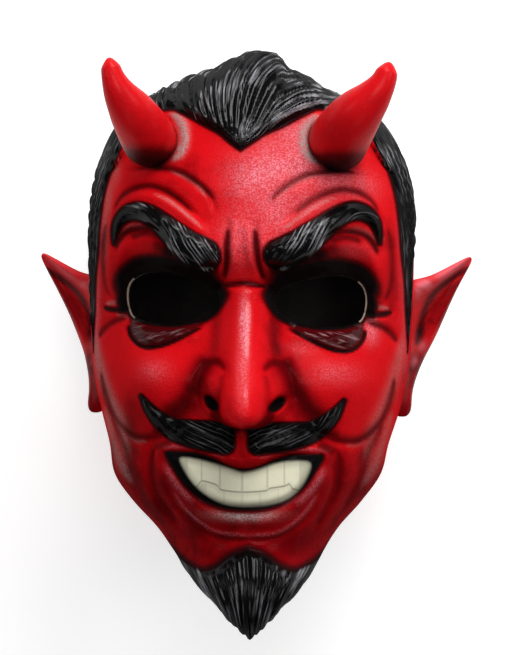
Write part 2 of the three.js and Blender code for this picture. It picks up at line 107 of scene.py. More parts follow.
# The bare rim of the latex shows at the outer end of each eye hole, from here on
RIM_START = 53
EYE_BAG = [(55.8, 8), (55.1, 0.1), (49.5, -5), (42.4, -5.1), (35.2, -2.7), (26.7, 1.6), (18.4, 7.1),
           (26.3, 7), (40.9, 5.8), (53.3, 8.9)]
MOUTH = [(38, -55.2), (30.1, -54.6), (22, -55), (14.5, -57.2), (7.2, -60.6), (0, -62), (-7.2, -60.6),
         (-14.5, -57.2), (-22, -55), (-30.1, -54.6), (-38, -55.2), (-34, -63), (-29.9, -68.9),
         (-24.6, -73.6), (-18.1, -77.4), (-9.4, -79.9), (0, -80.6), (9.4, -79.9), (18.1, -77.4),
         (24.6, -73.6), (29.9, -68.9), (34, -63)]
MOUTH_CENTRE = -1.2
TEETH = [(-31.8, -57.6), (-24.2, -57.6), (-15.7, -59.4), (-7.2, -61.9), (-1.4, -63.4), (5.5, -61.8),
         (12.9, -59), (22.5, -57.6), (30.4, -58.6), (28.8, -65.5), (24.6, -71.9), (18.2, -76.6),
         (9.7, -78.9), (-0.9, -79.8), (-10.4, -78.9), (-17.8, -75.8), (-24.2, -70.8), (-29.3, -64)]
# Their height in z at the middle, how they fall back to the sides, and how far the upper ones stand out
TEETH_LEVEL = 199.4
TEETH_ARCH = 0.0075
OVERBITE = 0.5
TOOTH_GAPS = [-28.1, -21.2, -12.5, -2, 10, 17.9, 25.2]
LOWER_GAPS = [-19, -10.5, -2, 6.5, 15, 21]
BITE = [(-32, -72), (-24, -71), (-22, -68.8), (-20.5, -68), (-13.8, -69.8), (-12, -71.9), (-2, -72.8),
        (9.4, -71.9), (11, -70.8), (18, -69.6), (20.3, -68.6), (22.5, -71.2), (31, -72)]
HAIRLINE = [(0, 89.6), (6.4, 93.9), (11, 97.6), (18.4, 101.4), (26, 105.8), (31, 108.6), (37, 110.6),
            (56.6, 107.6), (62.9, 92.8), (66.6, 85.8), (69.7, 76.5), (71.9, 67.7), (73.8, 53.1),
            (74.9, 40.2), (76.7, 27.2), (77.4, 12.1), (78.9, -5.7)]
HAIRLINE_CENTRE = -1.5
PEAK = (-3.5, 89.9, 178)
HAIR_SWIRL = 0.005
# Hair on the side of the head as (z, y): sideburn, round the ear and down to the nape
HAIR_SIDE = [(320, -6), (114, -7), (109, 10), (106, 36), (92, 47), (72, 40), (61, 12), (57, -14),
             (48, -36), (30, -45), (-60, -49), (-60, 240), (320, 240)]
GOATEE_CENTRE = 1.0
GOATEE = [(0, -99.5), (8, -102.5), (15.2, -108), (22.5, -110), (31, -107), (46, -104), (40, -160),
          (0, -170)]
HORN_PATH = [(42.5, 88.5, 158), (46.5, 95.5, 177), (52.5, 104.5, 191), (59.3, 113.5, 198),
             (63.6, 121.5, 200.5), (66.1, 130.6, 200.5)]
HORN_RADII = [13.5, 13.5, 11.6, 8.3, 5.8, 4.1]
HORN_TIP = 0.1
HORN_ROOT = 0.08
HORN_CROWDING = 1.5
HORN_FATTER = 0.05
# Shift of the left and right horn's base, which fades out towards the tip
HORN_BASE_SHIFTS = {-1: (-2.2, 1.2), 1: (-0.8, 2.6)}
EAR_INNER = [(67, -39, 99), (67, -22, 106), (70, 8, 106), (73, 26.6, 101), (88.8, 33.8, 88),
             (107.6, 45.4, 70)]
EAR_OUTER = [(87, -39.4, 92), (83.4, -27, 84), (86, -12, 77), (92.7, 3, 72), (101.8, 20, 69.5),
             (112.4, 37, 67)]
# Lean of horns and ears to +X, as a slope and the height where it is nothing
HORN_LEAN = (0.05, 102)
EAR_LEAN = (0.04, -6)
# How much lower than the middle the +X ones sit, and how much higher the -X ones
HORN_DROP = 1.2
EAR_DROP = 1.0
# The middle of both ears sits a little to +X: shift, height and reach
EAR_SHIFT = (1.6, 2, 22)
EAR_GROOVE = [(82, -3), (83.5, 5), (85.5, 13), (89.6, 21), (98.6, 29), (108, 34.5)]
# Painted highlight along the roll of an ear
EAR_ROLL_LIGHT = [(91, 30), (99, 34), (107, 39)]
# Painted shade in the dark places and painted highlights in the shining places of an ear: place, radii,
# strength
EAR_DARKS = [(83.5, 1.9, 3.2, 4.5, 0.85), (80.3, -16.6, 3, 1.6, 0.6)]
EAR_LIGHTS = [(86, 26.5, 2.6, 2.4, 0.9), (82, 24, 1.6, 4, 0.6), (84.9, -4.5, 2, 2.5, 0.4),
              (81.5, -12.6, 1.6, 2.4, 0.4)]
# The goatee sits a little to +X too
CHIN_SHIFT = 1.7
LEFT_TUCK = 1.3
# The jaws sit a little to -X: shift, height and reach
JAW_SHIFT = (-1.5, -74, 27)
NECK_RIM = [(178, -160), (176, -132), (166, -115), (142, -103), (120, -94), (104, -84), (90, -74),
            (76, -65), (46, -67), (20, -72), (-20, -78), (-20, -160)]
CAVITY_BOTTOM = -109
CAVITY_TOP = 127
CAVITY_MIDDLE = 112
INSIDE_RELIEF = 0.85

# The raised collar on the inner side of each horn
HORN_COLLAR = [(38, 107.6), (33, 106), (29.8, 102), (28.5, 97.5), (28.8, 92), (31.5, 86.5), (36, 83)]

# Creases: line, width, depth, and how black they are painted, partly airbrushed black and partly painted
# shade
CREASES = [
    ([(57, 78.5), (48, 80.6), (39, 80.2), (31, 78.4), (24.6, 75), (18.4, 70.5), (14.5, 66), (13, 60)],
     1.4, 2.3, 0.5),
    ([(65, 56), (61, 65), (56, 69.2), (50.5, 71.2), (44.5, 71.4), (38, 69.2), (31.8, 65.6), (26, 61),
      (20, 55.5)], 1.5, 2.9, 0.5),
    ([(6.2, 54), (7, 43), (7.4, 36), (8.8, 30), (10.4, 25)], 1.5, 2.8, 0.62),
    ([(1.6, 51), (0.6, 45), (1.4, 38)], 1.0, 0.9, 0.2),
    ([(0, 25.6), (5, 25), (10, 24.2), (14, 22)], 1.3, 2.4, 0.75),
    ([(36, 46.5), (43, 50.4), (51, 51.2), (57.5, 49), (61.5, 44), (63, 38)], 1.7, 2.6, 0.6),
    ([(55, 13), (61, 12), (67, 12.6), (71, 14.4)], 1.3, 2.4, 0.85),
    ([(56, 8), (60, 7.6), (65, 5.8), (70, 2), (73, -3)], 1.7, 2.6, 0.5),
    ([(66, 58), (69, 47), (69.6, 34), (68, 23), (63.5, 15.5)], 1.6, 2.2, 0.42),
    ([(57, 8), (55.1, 0.1), (49.5, -5), (42.4, -5.1), (35.2, -2.7), (26.7, 1.6), (18.4, 7.1)], 1.6, 2.0, 0.5),
    ([(8, -18), (10.5, -13.5), (14.5, -12), (18.5, -14.4), (21, -20), (22, -27)], 2.1, 2.6, 0.5),
    ([(21.5, -25), (25, -31.5), (30, -37.5), (35, -42), (41, -47)], 5.5, 4.2, 0.3),
    ([(31, -42), (38, -46.6), (46, -48.8), (54, -48.4), (61.5, -43), (66.5, -36), (70, -25), (72, -12)],
     2.0, 3.2, 0.5),
    ([(41, -49), (44, -56), (44.4, -65), (42, -75), (36.6, -84), (30, -93)], 2.0, 2.8, 0.45),
    ([(69, -30), (64.5, -42), (58, -56), (54, -68), (48, -80), (42, -90)], 1.9, 2.2, 0.42),
    ([(33.5, -79), (29, -84.5), (21.5, -90.5), (12.8, -94.4), (0, -95.2)], 1.3, 1.6, 0.3),
]

# The thin roll round the chin, under the lower lip
CHIN_ROLL = [(33, -75), (28, -82), (21, -88.2), (12.5, -92.2), (0, -93.2)]

# Rolls of flesh: line, width, height
ROLLS = [
    (BROW_RIDGE, 11, 7),
    ([(60, 74), (50, 76.5), (40, 75.8), (30, 72.5), (22, 66)], 3.8, 1.6),
    ([(67, 52), (63.5, 61), (57, 66.2), (48, 67.2), (38, 64.4), (28, 57.5), (20, 51)], 3.0, 2.6),
    ([(33, 38.5), (42, 43.6), (52, 44.4), (60, 40), (62.6, 31), (60, 22)], 5.2, 5.5),
    ([(67, 42), (67.4, 30), (65, 20)], 2.4, 1.6),
    ([(3.6, 52), (4, 42), (4.4, 33)], 1.8, 1.4),
    ([(10, 46), (10.6, 36), (12.4, 28)], 1.6, 1.4),
    ([(22, 3), (32, 0.5), (43, -0.5), (52, 3)], 3.6, 3.0),
    ([(38, -52), (41, -62), (38, -74), (32, -82)], 3.5, 2.4),
    ([(63, -52), (58, -66), (52, -82)], 4.0, 2.0),
    ([(50, -52), (49, -66), (44, -80), (37, -90)], 3.5, 1.8),
    ([(0, -58), (10, -55.5), (22, -52.5), (34, -52.2), (40, -56)], 2.2, 2.6),
    ([(0, -85.5), (12, -84.5), (24, -78), (33, -68), (38, -60)], 4.2, 3.6),
    ([(60, 9.6), (66, 9.4), (72, 6)], 2.0, 1.4),
    (CHIN_ROLL, 1.1, 0.9),
    (HORN_COLLAR, 2.4, 1.6),
]

# Further black, partly airbrushed and partly painted shade in hollows and under folds: line, width, how black
SHADOWS = [
    ([(12, 24), (20, 29), (30, 32.6), (42, 34), (52, 32.6), (58.5, 27), (60, 19)], 5.2, 1.05),
    ([(12, 29), (20, 33), (30, 38), (40, 41)], 5, 0.75),
    ([(57.5, 23), (59.6, 17), (57.5, 11)], 3.4, 1.0),
    ([(53, 14), (58, 12.4), (62, 12.2)], 2.2, 1.0),
    ([(15.5, 10), (13, 16), (12.5, 24)], 2.6, 0.8),
    ([(40, 46.5), (47, 48.5), (55, 47)], 2.2, 0.45),
    ([(17, -9), (20.5, -14), (23, -21), (26, -29), (31, -36)], 4.4, 0.42),
    ([(28, -39), (36, -44.4), (45, -46.6)], 3.4, 0.42),
    ([(34, -50), (39, -52), (43, -54)], 3.0, 0.4),
]
# Dark red shading: line, width, strength
DEEP_SHADES = [
    ([(14, 30), (24, 36), (34, 42), (44, 45)], 8, 0.8),
    ([(16, -10), (22, -20), (28, -32), (38, -42)], 8, 0.75),
    ([(14.5, 20), (13.8, 8), (14.4, -4), (15, -10)], 3.5, 0.5),
    ([(13.5, -34), (11, -39), (6, -42.5), (0, -44)], 3.2, 0.95),
    ([(0, -45), (0, -58)], 4, 0.5),
    ([(57, -50), (52, -64), (46, -78), (38, -90)], 6, 0.55),
    ([(42, -50), (44, -64), (40, -78), (32, -90)], 4, 0.45),
    ([(22, -98), (30, -98), (38, -92)], 8, 0.5),
    ([(0, -97), (12, -99), (24, -104)], 4, 0.6),
    ([(20, 80), (40, 84)], 7, 0.3),
    ([(68, 55), (70, 30), (70, 5)], 4, 0.35),
    ([(9.5, -16), (11, -24), (12, -32)], 2.2, 0.45),
]
# Grey, partly dry-brushed wear and partly painted highlight and reflection along ridges and edges: line,
# width, strength
DRY_BRUSH_AND_HIGHLIGHT_STROKES = [
    ([(76, 6), (73, -12), (67.5, -28), (61, -42), (58, -56), (56, -66)], 3.2, 0.55),
    ([(70, -32), (67, -46), (62, -60), (53, -74)], 3.0, 0.45),
    ([(60, 16), (64, 15.6), (69, 14.6)], 0.9, 0.6),
    ([(53, 8.6), (58, 9.6), (63, 9.4)], 1.2, 0.55),
    ([(37, 79.5), (28, 76.2), (21, 71.4), (16.6, 65)], 0.9, 0.5),
    ([(45, 68), (38, 65.6), (31.5, 61.5), (24, 55.6), (17, 49.8)], 0.9, 0.5),
    ([(46, -50.4), (53, -50.6), (59, -46.6)], 0.9, 0.4),
    (HORN_COLLAR, 2.3, 1.25),
    ([(67, 50), (62, 48), (54, 52), (46, 51)], 1.6, 0.35),
]
# Pinkish painted sheen, a painted highlight where the light shines: place, radii, strength
PAINTED_SHEEN_SPOTS = [
    (20, 84, 20, 15, 0.55), (12, 60, 11, 17, 0.4), (-4, 47, 8, 11, 0.45), (40, 74, 14, 6, 0.35),
    (-1, 7, 2.0, 11, 1.1), (-1, -14, 2.6, 16, 0.4), (76, 60, 3, 30, 0.3), (-77, 60, 4, 30, 0.45),
    (-77, 10, 3, 30, 0.4), (78, 10, 2.5, 26, 0.3), (59, 3, 4, 5.5, 0.6), (41, -17, 11, 5, 0.35),
    (26, -5, 6, 3, 0.2), (-44, -16, 7, 5, 0.25), (2, 74, 11, 9, 0.4), (27, 97, 10, 7, 0.4),
    (29, 64, 12, 5, 0.3), (54, 72, 9, 7, 0.22), (52, 41, 8, 4, 0.14),
]
# Grey spots, partly worn paint and partly painted highlight, and deeper red spots of painted shade, in the
# same form
DRY_BRUSH_AND_HIGHLIGHT_SPOTS = [(-65, 82, 2.6, 8, 0.3), (-68.5, 68, 2.2, 10, 0.35), (-70.5, 50, 2, 14, 0.3),
              (-1, -83.4, 13, 2.4, 0.95)]
SHADE_SPOTS = [(-55, -36, 12, 12, 0.55), (-66, 30, 5, 14, 0.3), (22, -97, 10, 7, 0.3)]

# Light along the edges of the lips: line, width, strength
LIP_LIGHTS = [
    ([(38, -53), (28, -52), (18, -53), (9, -56)], 0.8, 0.35),
    ([(37, -62), (32, -70.5), (25, -77.5)], 1.5, 0.3),
    (CHIN_ROLL, 0.8, 0.2),
]
NOSE_STREAK = [(0, 22), (0, 10), (0, -4), (0, -16), (0, -28)]

# Mounds: centre, radii, height
MOUNDS = [
    (48, -20, 21.5, 23.5, 12),
    (0, 41, 11, 13, 5),
    (0, -88, 25, 10, 5),
    (34, 16, 27, 13, -6),
    (0, -54, 32, 18, 9),
]

# Lift of the nose on its centre line over the plain head, by height before it hangs over
NOSE_HEIGHTS = [(30, 0), (26.6, 0.6), (24, 7), (18, 11), (12.8, 14), (4, 20), (-4.4, 27), (-12.4, 36),
                (-19.2, 42), (-25, 43.5), (-30, 41), (-34.5, 34.5), (-38.5, 20), (-42, 6), (-45, 0)]
# Half width of the nose, by the same height
NOSE_HALVES = [(30, 10), (20, 10.5), (8, 11.8), (-8, 13), (-20, 14.2), (-30, 14.8), (-38, 13), (-44, 10)]
NOSE_SQUARENESS = 2.5
NOSE_HANG = 0.2
NOSE_BLEND = 3.5
WING_PLACE = (13, -24)
WING_RADII = (9.6, 11.5)
WING_HEIGHT = 20
# Nostrils, which slant up and out: the radii are those along and across the slant
NOSTRIL_PLACE = (15.2, -31.2)
NOSTRIL_RADII = (4.6, 2.5)
NOSTRIL_DEPTH = 8


def smooth(low, high, value):
    t = np.clip((value - low) / (high - low), 0, 1)
    return t * t * (3 - 2 * t)


def curve(points, per_span=5, closed=False):
    """A smooth line through the points."""
    p = np.array(points, float)
    n = len(p)
    if closed:
        p = np.concatenate([p[-1:], p, p[:2]])
    else:
        p = np.concatenate([2 * p[:1] - p[1:2], p, 2 * p[-1:] - p[-2:-1]])
    spans = n if closed else n - 1
    out = []
    for i in range(spans):
        a, b, c, d = p[i:i + 4]
        for k in range(per_span):
            f = k / per_span
            out.append(b + 0.5 * f * (c - a + f * (2 * a - 5 * b + 4 * c - d + f * (3 * (b - c) + d - a))))
    if not closed:
        out.append(p[-2])
    return np.array(out)


def follow(x, y, line, margin=30):
    """Distance to a line, the side it lies on (+1 to the left), and the share of the length along."""
    near = np.full(x.shape, 999.0)
    side = np.ones(x.shape)
    along = np.zeros(x.shape)
    low = line.min(0) - margin
    high = line.max(0) + margin
    pick = np.nonzero((x > low[0]) & (x < high[0]) & (y > low[1]) & (y < high[1]))[0]
    if len(pick) == 0:
        return near, side, along
    px, py = x[pick], y[pick]
    best = np.full(px.shape, 999.0)
    which = np.ones(px.shape)
    place = np.zeros(px.shape)
    steps = np.hypot(*np.diff(line, axis=0).T)
    start = 0.0
    for (ax, ay), (bx, by), step in zip(line[:-1], line[1:], np.maximum(steps, 1e-6)):
        dx, dy = (bx - ax) / step, (by - ay) / step
        run = np.clip((px - ax) * dx + (py - ay) * dy, 0, step)
        gap = np.hypot(px - ax - run * dx, py - ay - run * dy)
        closer = gap < best
        best[closer] = gap[closer]
        which[closer] = np.sign(dx * (py - ay) - dy * (px - ax))[closer]
        place[closer] = (start + run[closer]) / steps.sum()
        start += step
    near[pick], side[pick], along[pick] = best, which, place
    return near, side, along


def inside(x, y, outline, margin=30):
    """Signed distance to a closed outline, positive inside."""
    ring = np.concatenate([outline, outline[:1]])
    near, _, _ = follow(x, y, ring, margin)
    within = np.zeros(x.shape, bool)
    for (ax, ay), (bx, by) in zip(ring[:-1], ring[1:]):
        if ay == by:
            continue
        spans = (ay > y) != (by > y)
        within ^= spans & (x < (bx - ax) * (y - ay) / (by - ay) + ax)
    return np.where(within, near, -near)


def bell(value, middle, width):
    return np.exp(-((value - middle) / width) ** 2)


def within(x, y, points):
    """Signed distance to the smooth closed outline through the points."""
    return inside(x, y, curve(points, 3, closed=True))


def mound(x, y, cx, cy, rx, ry):
    """A soft round spot: 1 in its centre, fading over its radii."""
    return np.exp(-((x - cx) / rx) ** 2 - ((y - cy) / ry) ** 2)


def both_halves(half):
    """A closed outline from its right-hand half, which starts and may end on the middle line."""
    return np.concatenate([half, half[::-1][:-1] * (-1, 1)])


def ripple(a, b, seed):
    """A smooth wandering value, from about -1 to 1."""
    rng = np.random.default_rng(seed)
    total = 0
    for _ in range(5):
        turn, phase = rng.uniform(0, 2 * math.pi, 2)
        total = total + np.sin(a * math.cos(turn) + b * math.sin(turn) + phase)
    return total / 3.2


def strands(q, s, pitch, seed):
    """Rounded locks side by side across q, wandering along s: 1 on top, 0 in the grooves."""
    bend = q / pitch + 0.6 * ripple(q / pitch * 0.8, s / pitch * 0.22, seed)
    return np.abs(np.cos(math.pi * bend)) ** 0.7


def by_index(values, t):
    """Catmull-Rom through evenly spaced values, at t from 0 to 1."""
    v = np.concatenate([[2 * values[0] - values[1]], values, [2 * values[-1] - values[-2]]])
    place = np.clip(t, 0, 1) * (len(values) - 1)
    i = np.minimum(place.astype(int), len(values) - 2)
    f = place - i
    a, b, c, d = v[i], v[i + 1], v[i + 2], v[i + 3]
    return b + 0.5 * f * (c - a + f * (2 * a - 5 * b + 4 * c - d + f * (3 * (b - c) + d - a)))


COLUMNS = np.array(SECTIONS, float).T


def head_point(t, angle, inset=0.0):
    """A point of the plain head: t runs from goatee to crown, angle 0 is the front centre line."""
    y, half, front, back = (by_index(c, t) for c in COLUMNS)
    depth = np.maximum((front - back) / 2 - inset, 0)
    width = np.maximum(half - inset, 0)
    power = 2 / SQUARENESS
    s, c = np.sin(angle), np.cos(angle)
    x = width * np.sign(s) * np.abs(s) ** power
    z = (front + back) / 2 + depth * np.sign(c) * np.abs(c) ** power
    return np.stack([x, y, z], 1)


def head_normal(t, angle):
    step = 0.004
    around = head_point(t, angle + step) - head_point(t, angle - step)
    up = head_point(np.minimum(t + step, 1), angle) - head_point(np.maximum(t - step, 0), angle)
    normal = np.cross(around, up)
    length = np.linalg.norm(normal, axis=1)
    poles = length < 1e-6
    normal[poles] = (0, 1, 0)
    length[poles] = 1
    return normal / length[:, None]


def stroke(x, y, points, width):
    near, _, along = follow(x, y, curve(points, 4))
    ends = smooth(-0.12, 0.14, along) * smooth(1.12, 0.86, along)
    return np.exp(-(near / width) ** 2) * ends


def tapered_stroke(x, y, points, width):
    """A stroke that grows thin at its ends, apart from an end on the middle of the face."""
    near, _, along = follow(x, y, curve(points, 4))
    start = 1 if points[0][0] < 2 else smooth(0, 0.3, along)
    end = 1 if points[-1][0] < 2 else smooth(1, 0.7, along)
    body = start * end
    return np.exp(-(near / (width * (0.35 + 0.65 * body))) ** 2) * np.minimum(2.5 * body, 1)


def strokes(x, y, table, under):
    """The strongest of a table's strokes and of what lies under them, at each place."""
    for points, width, strength in table:
        under = np.maximum(under, strength * stroke(x, y, points, width))
    return under


def levelled(x, y):
    """The height of a place with the slight tilt of the face taken out."""
    return y + TILT * np.clip(x, -60, 60)


def tilted(x, y):
    """Right-hand coordinates of a place on the face, with its crooked halves made alike."""
    line = np.array(MIDLINE, float)
    middle = np.interp(y, line[:, 0], line[:, 1]) * np.exp(-(x / MIDLINE_REACH) ** 2)
    across = x - middle
    across = np.where(across > 0, across, -LEFT_STRETCH * across)
    return across, levelled(x, y)


def nose_lift(x, y):
    """Height of the nose over the plain head, before it hangs over."""
    line = curve(NOSE_HEIGHTS, 4)[::-1]
    lift = np.interp(y, line[:, 0], line[:, 1])
    halves = np.array(NOSE_HALVES[::-1], float)
    half = np.interp(y, halves[:, 0], halves[:, 1])
    bridge = 0.86 * np.exp(-np.abs(x / half) ** NOSE_SQUARENESS) + 0.14 * np.exp(-(x / (2.1 * half)) ** 2)
    return lift * bridge


def wing_lift(x, y):
    u, v = tilted(x, y)
    reach = ((u - WING_PLACE[0]) / WING_RADII[0]) ** 2 + ((v - WING_PLACE[1]) / WING_RADII[1]) ** 2
    return WING_HEIGHT * np.maximum(1 - reach, 0) ** 0.7


def nose_and_wings(x, y, hang=0):
    """Lift of the nose run together with its wings, with the nose sunk by hang."""
    return smooth_max(nose_lift(x, y + hang), wing_lift(x, y), NOSE_BLEND)


def nostril_shape(x, y):
    """1 in the middle of a nostril, which slants up and out."""
    u, v = tilted(x, y)
    out, up = u - NOSTRIL_PLACE[0], v - NOSTRIL_PLACE[1]
    along = (out + up) / math.sqrt(2)
    across = (out - up) / math.sqrt(2)
    return np.exp(-((along / NOSTRIL_RADII[0]) ** 2 + (across / NOSTRIL_RADII[1]) ** 2) ** 1.5)


def smooth_max(a, b, softness=2.0):
    return 0.5 * (a + b + np.sqrt((a - b) ** 2 + softness ** 2) - softness)


def mouth_distance(x, y):
    return within(x - MOUTH_CENTRE, levelled(x, y), MOUTH)


def bite_height(x, y):
    """Height over the line where the upper teeth meet the lower ones."""
    line = curve(BITE, 4)
    return y - np.interp(x, line[:, 0], line[:, 1])


def tooth_number(x, y):
    """A running number across each row of teeth that is whole at every gap."""
    upper = np.interp(x, TOOTH_GAPS, range(len(TOOTH_GAPS)))
    lower = np.interp(x, LOWER_GAPS, range(len(LOWER_GAPS)))
    return np.where(bite_height(x, y) > 0, upper, lower)


def face_relief(x, y):
    """Height that the face adds over the plain head, distance inside the mouth, and the teeth's level."""
    u, v = tilted(x, y)
    z = np.zeros(x.shape)
    for points, width, height in ROLLS:
        z += height * stroke(u, v, points, width)
    for *place, height in MOUNDS:
        z += height * mound(u, v, *place)
    for points, width, depth, _ in CREASES:
        z -= depth * stroke(u, v, points, width)
    z = z + nose_and_wings(x, y) - NOSTRIL_DEPTH * nostril_shape(x, y)
    bag = within(u, v, EYE_BAG)
    wrinkles = 1.1 * ripple(u * 0.3, (v + 0.3 * u) * 1.7, 3) + 0.4 * ripple(u * 0.8, v * 2.8, 4)
    z += smooth(0, 2, bag) * wrinkles
    hole = within(u, v, EYE_HOLE)
    z -= 2.0 * smooth(-5, 0, hole)
    mouth = mouth_distance(x, y)
    teeth = TEETH_LEVEL - TEETH_ARCH * x ** 2 - 2.2 * np.exp(-(np.maximum(mouth, 0) / 1.8) ** 2)
    teeth += OVERBITE * smooth(-2, 0.5, bite_height(x, y))
    return z, mouth, teeth


def hair_distance(x, y, z):
    """Signed distance to the edge of the head hair, positive in the hair."""
    centre = HAIRLINE_CENTRE - 2 * np.exp(-(x / 12) ** 2) + 1.6 * smooth(45, 66, np.abs(x))
    half = np.concatenate([curve(HAIRLINE, 3), [(79, -60), (240, -60), (240, 240)]])
    by_front = inside(x - centre, y, both_halves(half), 300)
    by_side = inside(z, y, np.array(HAIR_SIDE, float), 500)
    behind = np.maximum(smooth(118, 92, z), smooth(148, 126, z) * smooth(80, 94, y))
    return np.minimum(by_front + 120 * behind, by_side)


def head_strands(x, y, z):
    """Across and along the strands of the head hair: a fan on the crown, combed back at the sides."""
    back = PEAK[2] - z
    reach = np.sqrt((x - PEAK[0]) ** 2 + (y - PEAK[1]) ** 2 + back ** 2)
    turn = np.arctan2(x - PEAK[0], (y - PEAK[1]) + 0.8 * back) - HAIR_SWIRL * np.minimum(reach, 70)
    fan = turn * (24 + 0.46 * np.minimum(reach, 75))
    around = np.arctan2(x, z - 90) * 60
    side = smooth(46, 62, np.abs(x)) * smooth(118, 92, y) + smooth(120, 84, z)
    side = np.clip(side, 0, 1)
    q = np.where(side > 0.5, around + 0.25 * (y - 60) * np.sign(x), fan)
    s = np.where(side > 0.5, y, reach)
    return q, s


def width_at(widths, along):
    return np.interp(along, np.linspace(0, 1, len(widths)), widths)


def brow_field(x, y):
    u, _ = tilted(x, y)
    near, _, along = follow(u, y, curve(BROW_LINE, 4))
    past, flank, share = follow(u, y, curve(BROW_STRANDS, 4))
    s = share * BROW_STRAND_LENGTH
    q = past * flank - 0.36 * s - 9 * (1 - np.exp(-s / 14))
    return width_at(BROW_WIDTHS, along) - near, q, s


def moustache_field(x, y):
    shifted = x - MOUSTACHE_CENTRE
    u, v = np.abs(shifted), y + TILT * x
    near, _, along = follow(u, v, curve(MOUSTACHE_LINE, 4))
    past, flank, share = follow(u, v, curve(MOUSTACHE_STRANDS, 4))
    q = past * flank - 0.3 * share * MOUSTACHE_STRAND_LENGTH - 6 * np.maximum(1 - share, 0) ** 1.5
    edge = -smooth_max(near - width_at(MOUSTACHE_WIDTHS, along), MOUSTACHE_GAP - u, 1.5) - 0.35
    return edge, q, share * MOUSTACHE_STRAND_LENGTH


def goatee_field(x, y):
    shifted = x - GOATEE_CENTRE
    edge = inside(shifted, y, both_halves(curve(GOATEE, 4)), 80)
    q = np.arctan2(shifted, y + 158) * 30
    return edge, q, y + 142


def all_hair(x, y, z):
    """Signed distance and strand coordinates of whichever hair is nearest, and its kind."""
    best = [hair_distance(x, y, z), *head_strands(x, y, z), np.full(x.shape, float(HEAD_HAIR))]
    fields = {BROW_HAIR: brow_field, MOUSTACHE_HAIR: moustache_field, GOATEE_HAIR: goatee_field}
    for kind, field in fields.items():
        edge, q, s = field(x, y)
        wins = (z > HAIR_FRONT) & (edge > best[0])
        for held, new in zip(best, (edge, q, s, np.full(x.shape, float(kind)))):
            held[wins] = new[wins]
    return best


# The kinds of hair, and for each its rise over the skin and the width and depth of its locks
HEAD_HAIR, BROW_HAIR, MOUSTACHE_HAIR, GOATEE_HAIR = range(4)
HAIR_RISE = [4.0, 3.8, 4.0, 3.0]
CLUMP_PITCH = [5.2, 4.0, 4.4, 4.2]
CLUMP_DEPTH = [2.6, 1.0, 1.0, 1.1]
FINE_PITCH = [2.4, 1.9, 1.9, 1.8]
FINE_DEPTH = [0.9, 0.5, 0.4, 0.5]
# How much light each kind of hair catches, in its coat and in its painted highlight streaks
HAIR_SHINE = [0.8, 0.85, 0.2, 0.5]
# How far its dark edge fades into the red
HAIR_SHADOW = [1.4, 1.3, 1.1, 3.2]
# Extra height of the crown's hair across the head: the quiff in the middle leans to +X
QUIFF = [(-50, 0.5), (-43, 1), (-35, 1.7), (-29, 2.7), (-20, 3.4), (-15.4, 4), (-12.5, 6), (-8, 7.6),
         (-4.4, 8.3), (-1.5, 10.4), (5, 11), (13.2, 10.3), (16.5, 7.8), (18.5, 3.8), (26, 2.8), (37, -1.4),
         (46, -2), (60, 0)]


def choose(table, kind):
    return np.array(table, float)[kind.astype(int)]


def hair_relief(edge, q, s, kind):
    """Rise of the hair over the skin and the strands carved in it."""
    rise = choose(HAIR_RISE, kind) * smooth(-0.6, 3.2, edge)
    clump = np.zeros(q.shape)
    for number in range(len(HAIR_RISE)):
        chosen = kind == number
        locks = strands(q[chosen], s[chosen], CLUMP_PITCH[number], 10 + number)
        hairs = strands(q[chosen], s[chosen], FINE_PITCH[number], 20 + number)
        clump[chosen] = CLUMP_DEPTH[number] * (locks - 0.75) + FINE_DEPTH[number] * (hairs - 0.7)
    return rise, clump * smooth(0.2, 4, edge)


def chin_shift(y):
    return CHIN_SHIFT * smooth(-98, -118, y)


def ball_angles(unit, spread):
    """Angle round the head from the front centre line, and the share of the way down from the crown."""
    s = np.arctan2(unit[:, 0], -unit[:, 1]) / math.pi
    down = np.arccos(np.clip(unit[:, 2], -1, 1)) / math.pi
    return math.pi * (spread[0] * s + spread[1] * s ** 3), down


def skin_positions(unit):
    """Places of the skin's vertices from those of a round ball with its poles on z."""
    angle, down = ball_angles(unit, SKIN_SPREAD)
    fine = np.linspace(0, 1, 800)
    profile = head_point(fine, np.zeros(len(fine)))
    steps = np.linalg.norm(np.diff(profile, axis=0), axis=1)
    # Rows lie a little further apart on the crown
    steps = steps * np.where(profile[1:, 1] > 112, 0.8, 1.0)
    length = np.concatenate([[0], np.cumsum(steps)])
    t = np.interp((1 - down) * length[-1], length, fine)
    base = head_point(t, angle)
    normal = head_normal(t, angle)
    half = by_index(COLUMNS[1], t)
    facing = smooth(-0.1, 0.35, np.cos(angle)) * smooth(0, 16, half)
    x, y, z = base.T.copy()
    hang = NOSE_HANG * nose_lift(x, y) * facing
    y = y - hang
    relief, mouth, teeth = face_relief_hung(x, y, hang)
    edge, q, strand_along, kind = all_hair(x, y, z)
    rise, clump = hair_relief(edge, q, strand_along, kind)
    lifted = z + relief * facing + rise * facing
    open_mouth = smooth(-1.6, 0.5, mouth) * (np.cos(angle) > 0)
    lifted = lifted + (teeth - lifted) * open_mouth
    place = np.stack([x, y, lifted], 1) + normal * (clump * (1 - open_mouth))[:, None]
    quiff = smooth(98, 126, y) * smooth(20, 80, z)
    lifts = np.array(QUIFF, float)
    place[:, 1] += quiff * np.interp(x, lifts[:, 0], lifts[:, 1])
    place[:, 0] += JAW_SHIFT[0] * bell(y, *JAW_SHIFT[1:]) * smooth(28, 46, np.abs(x))
    place[:, 0] += chin_shift(y) + LEFT_TUCK * smooth(-50, -75, x) * bell(y, 72, 26)
    return place


def face_relief_hung(x, y, hang):
    """The relief at a place that has already sunk with the hanging nose."""
    relief, mouth, teeth = face_relief(x, y)
    return relief + nose_and_wings(x, y, hang) - nose_and_wings(x, y), mouth, teeth


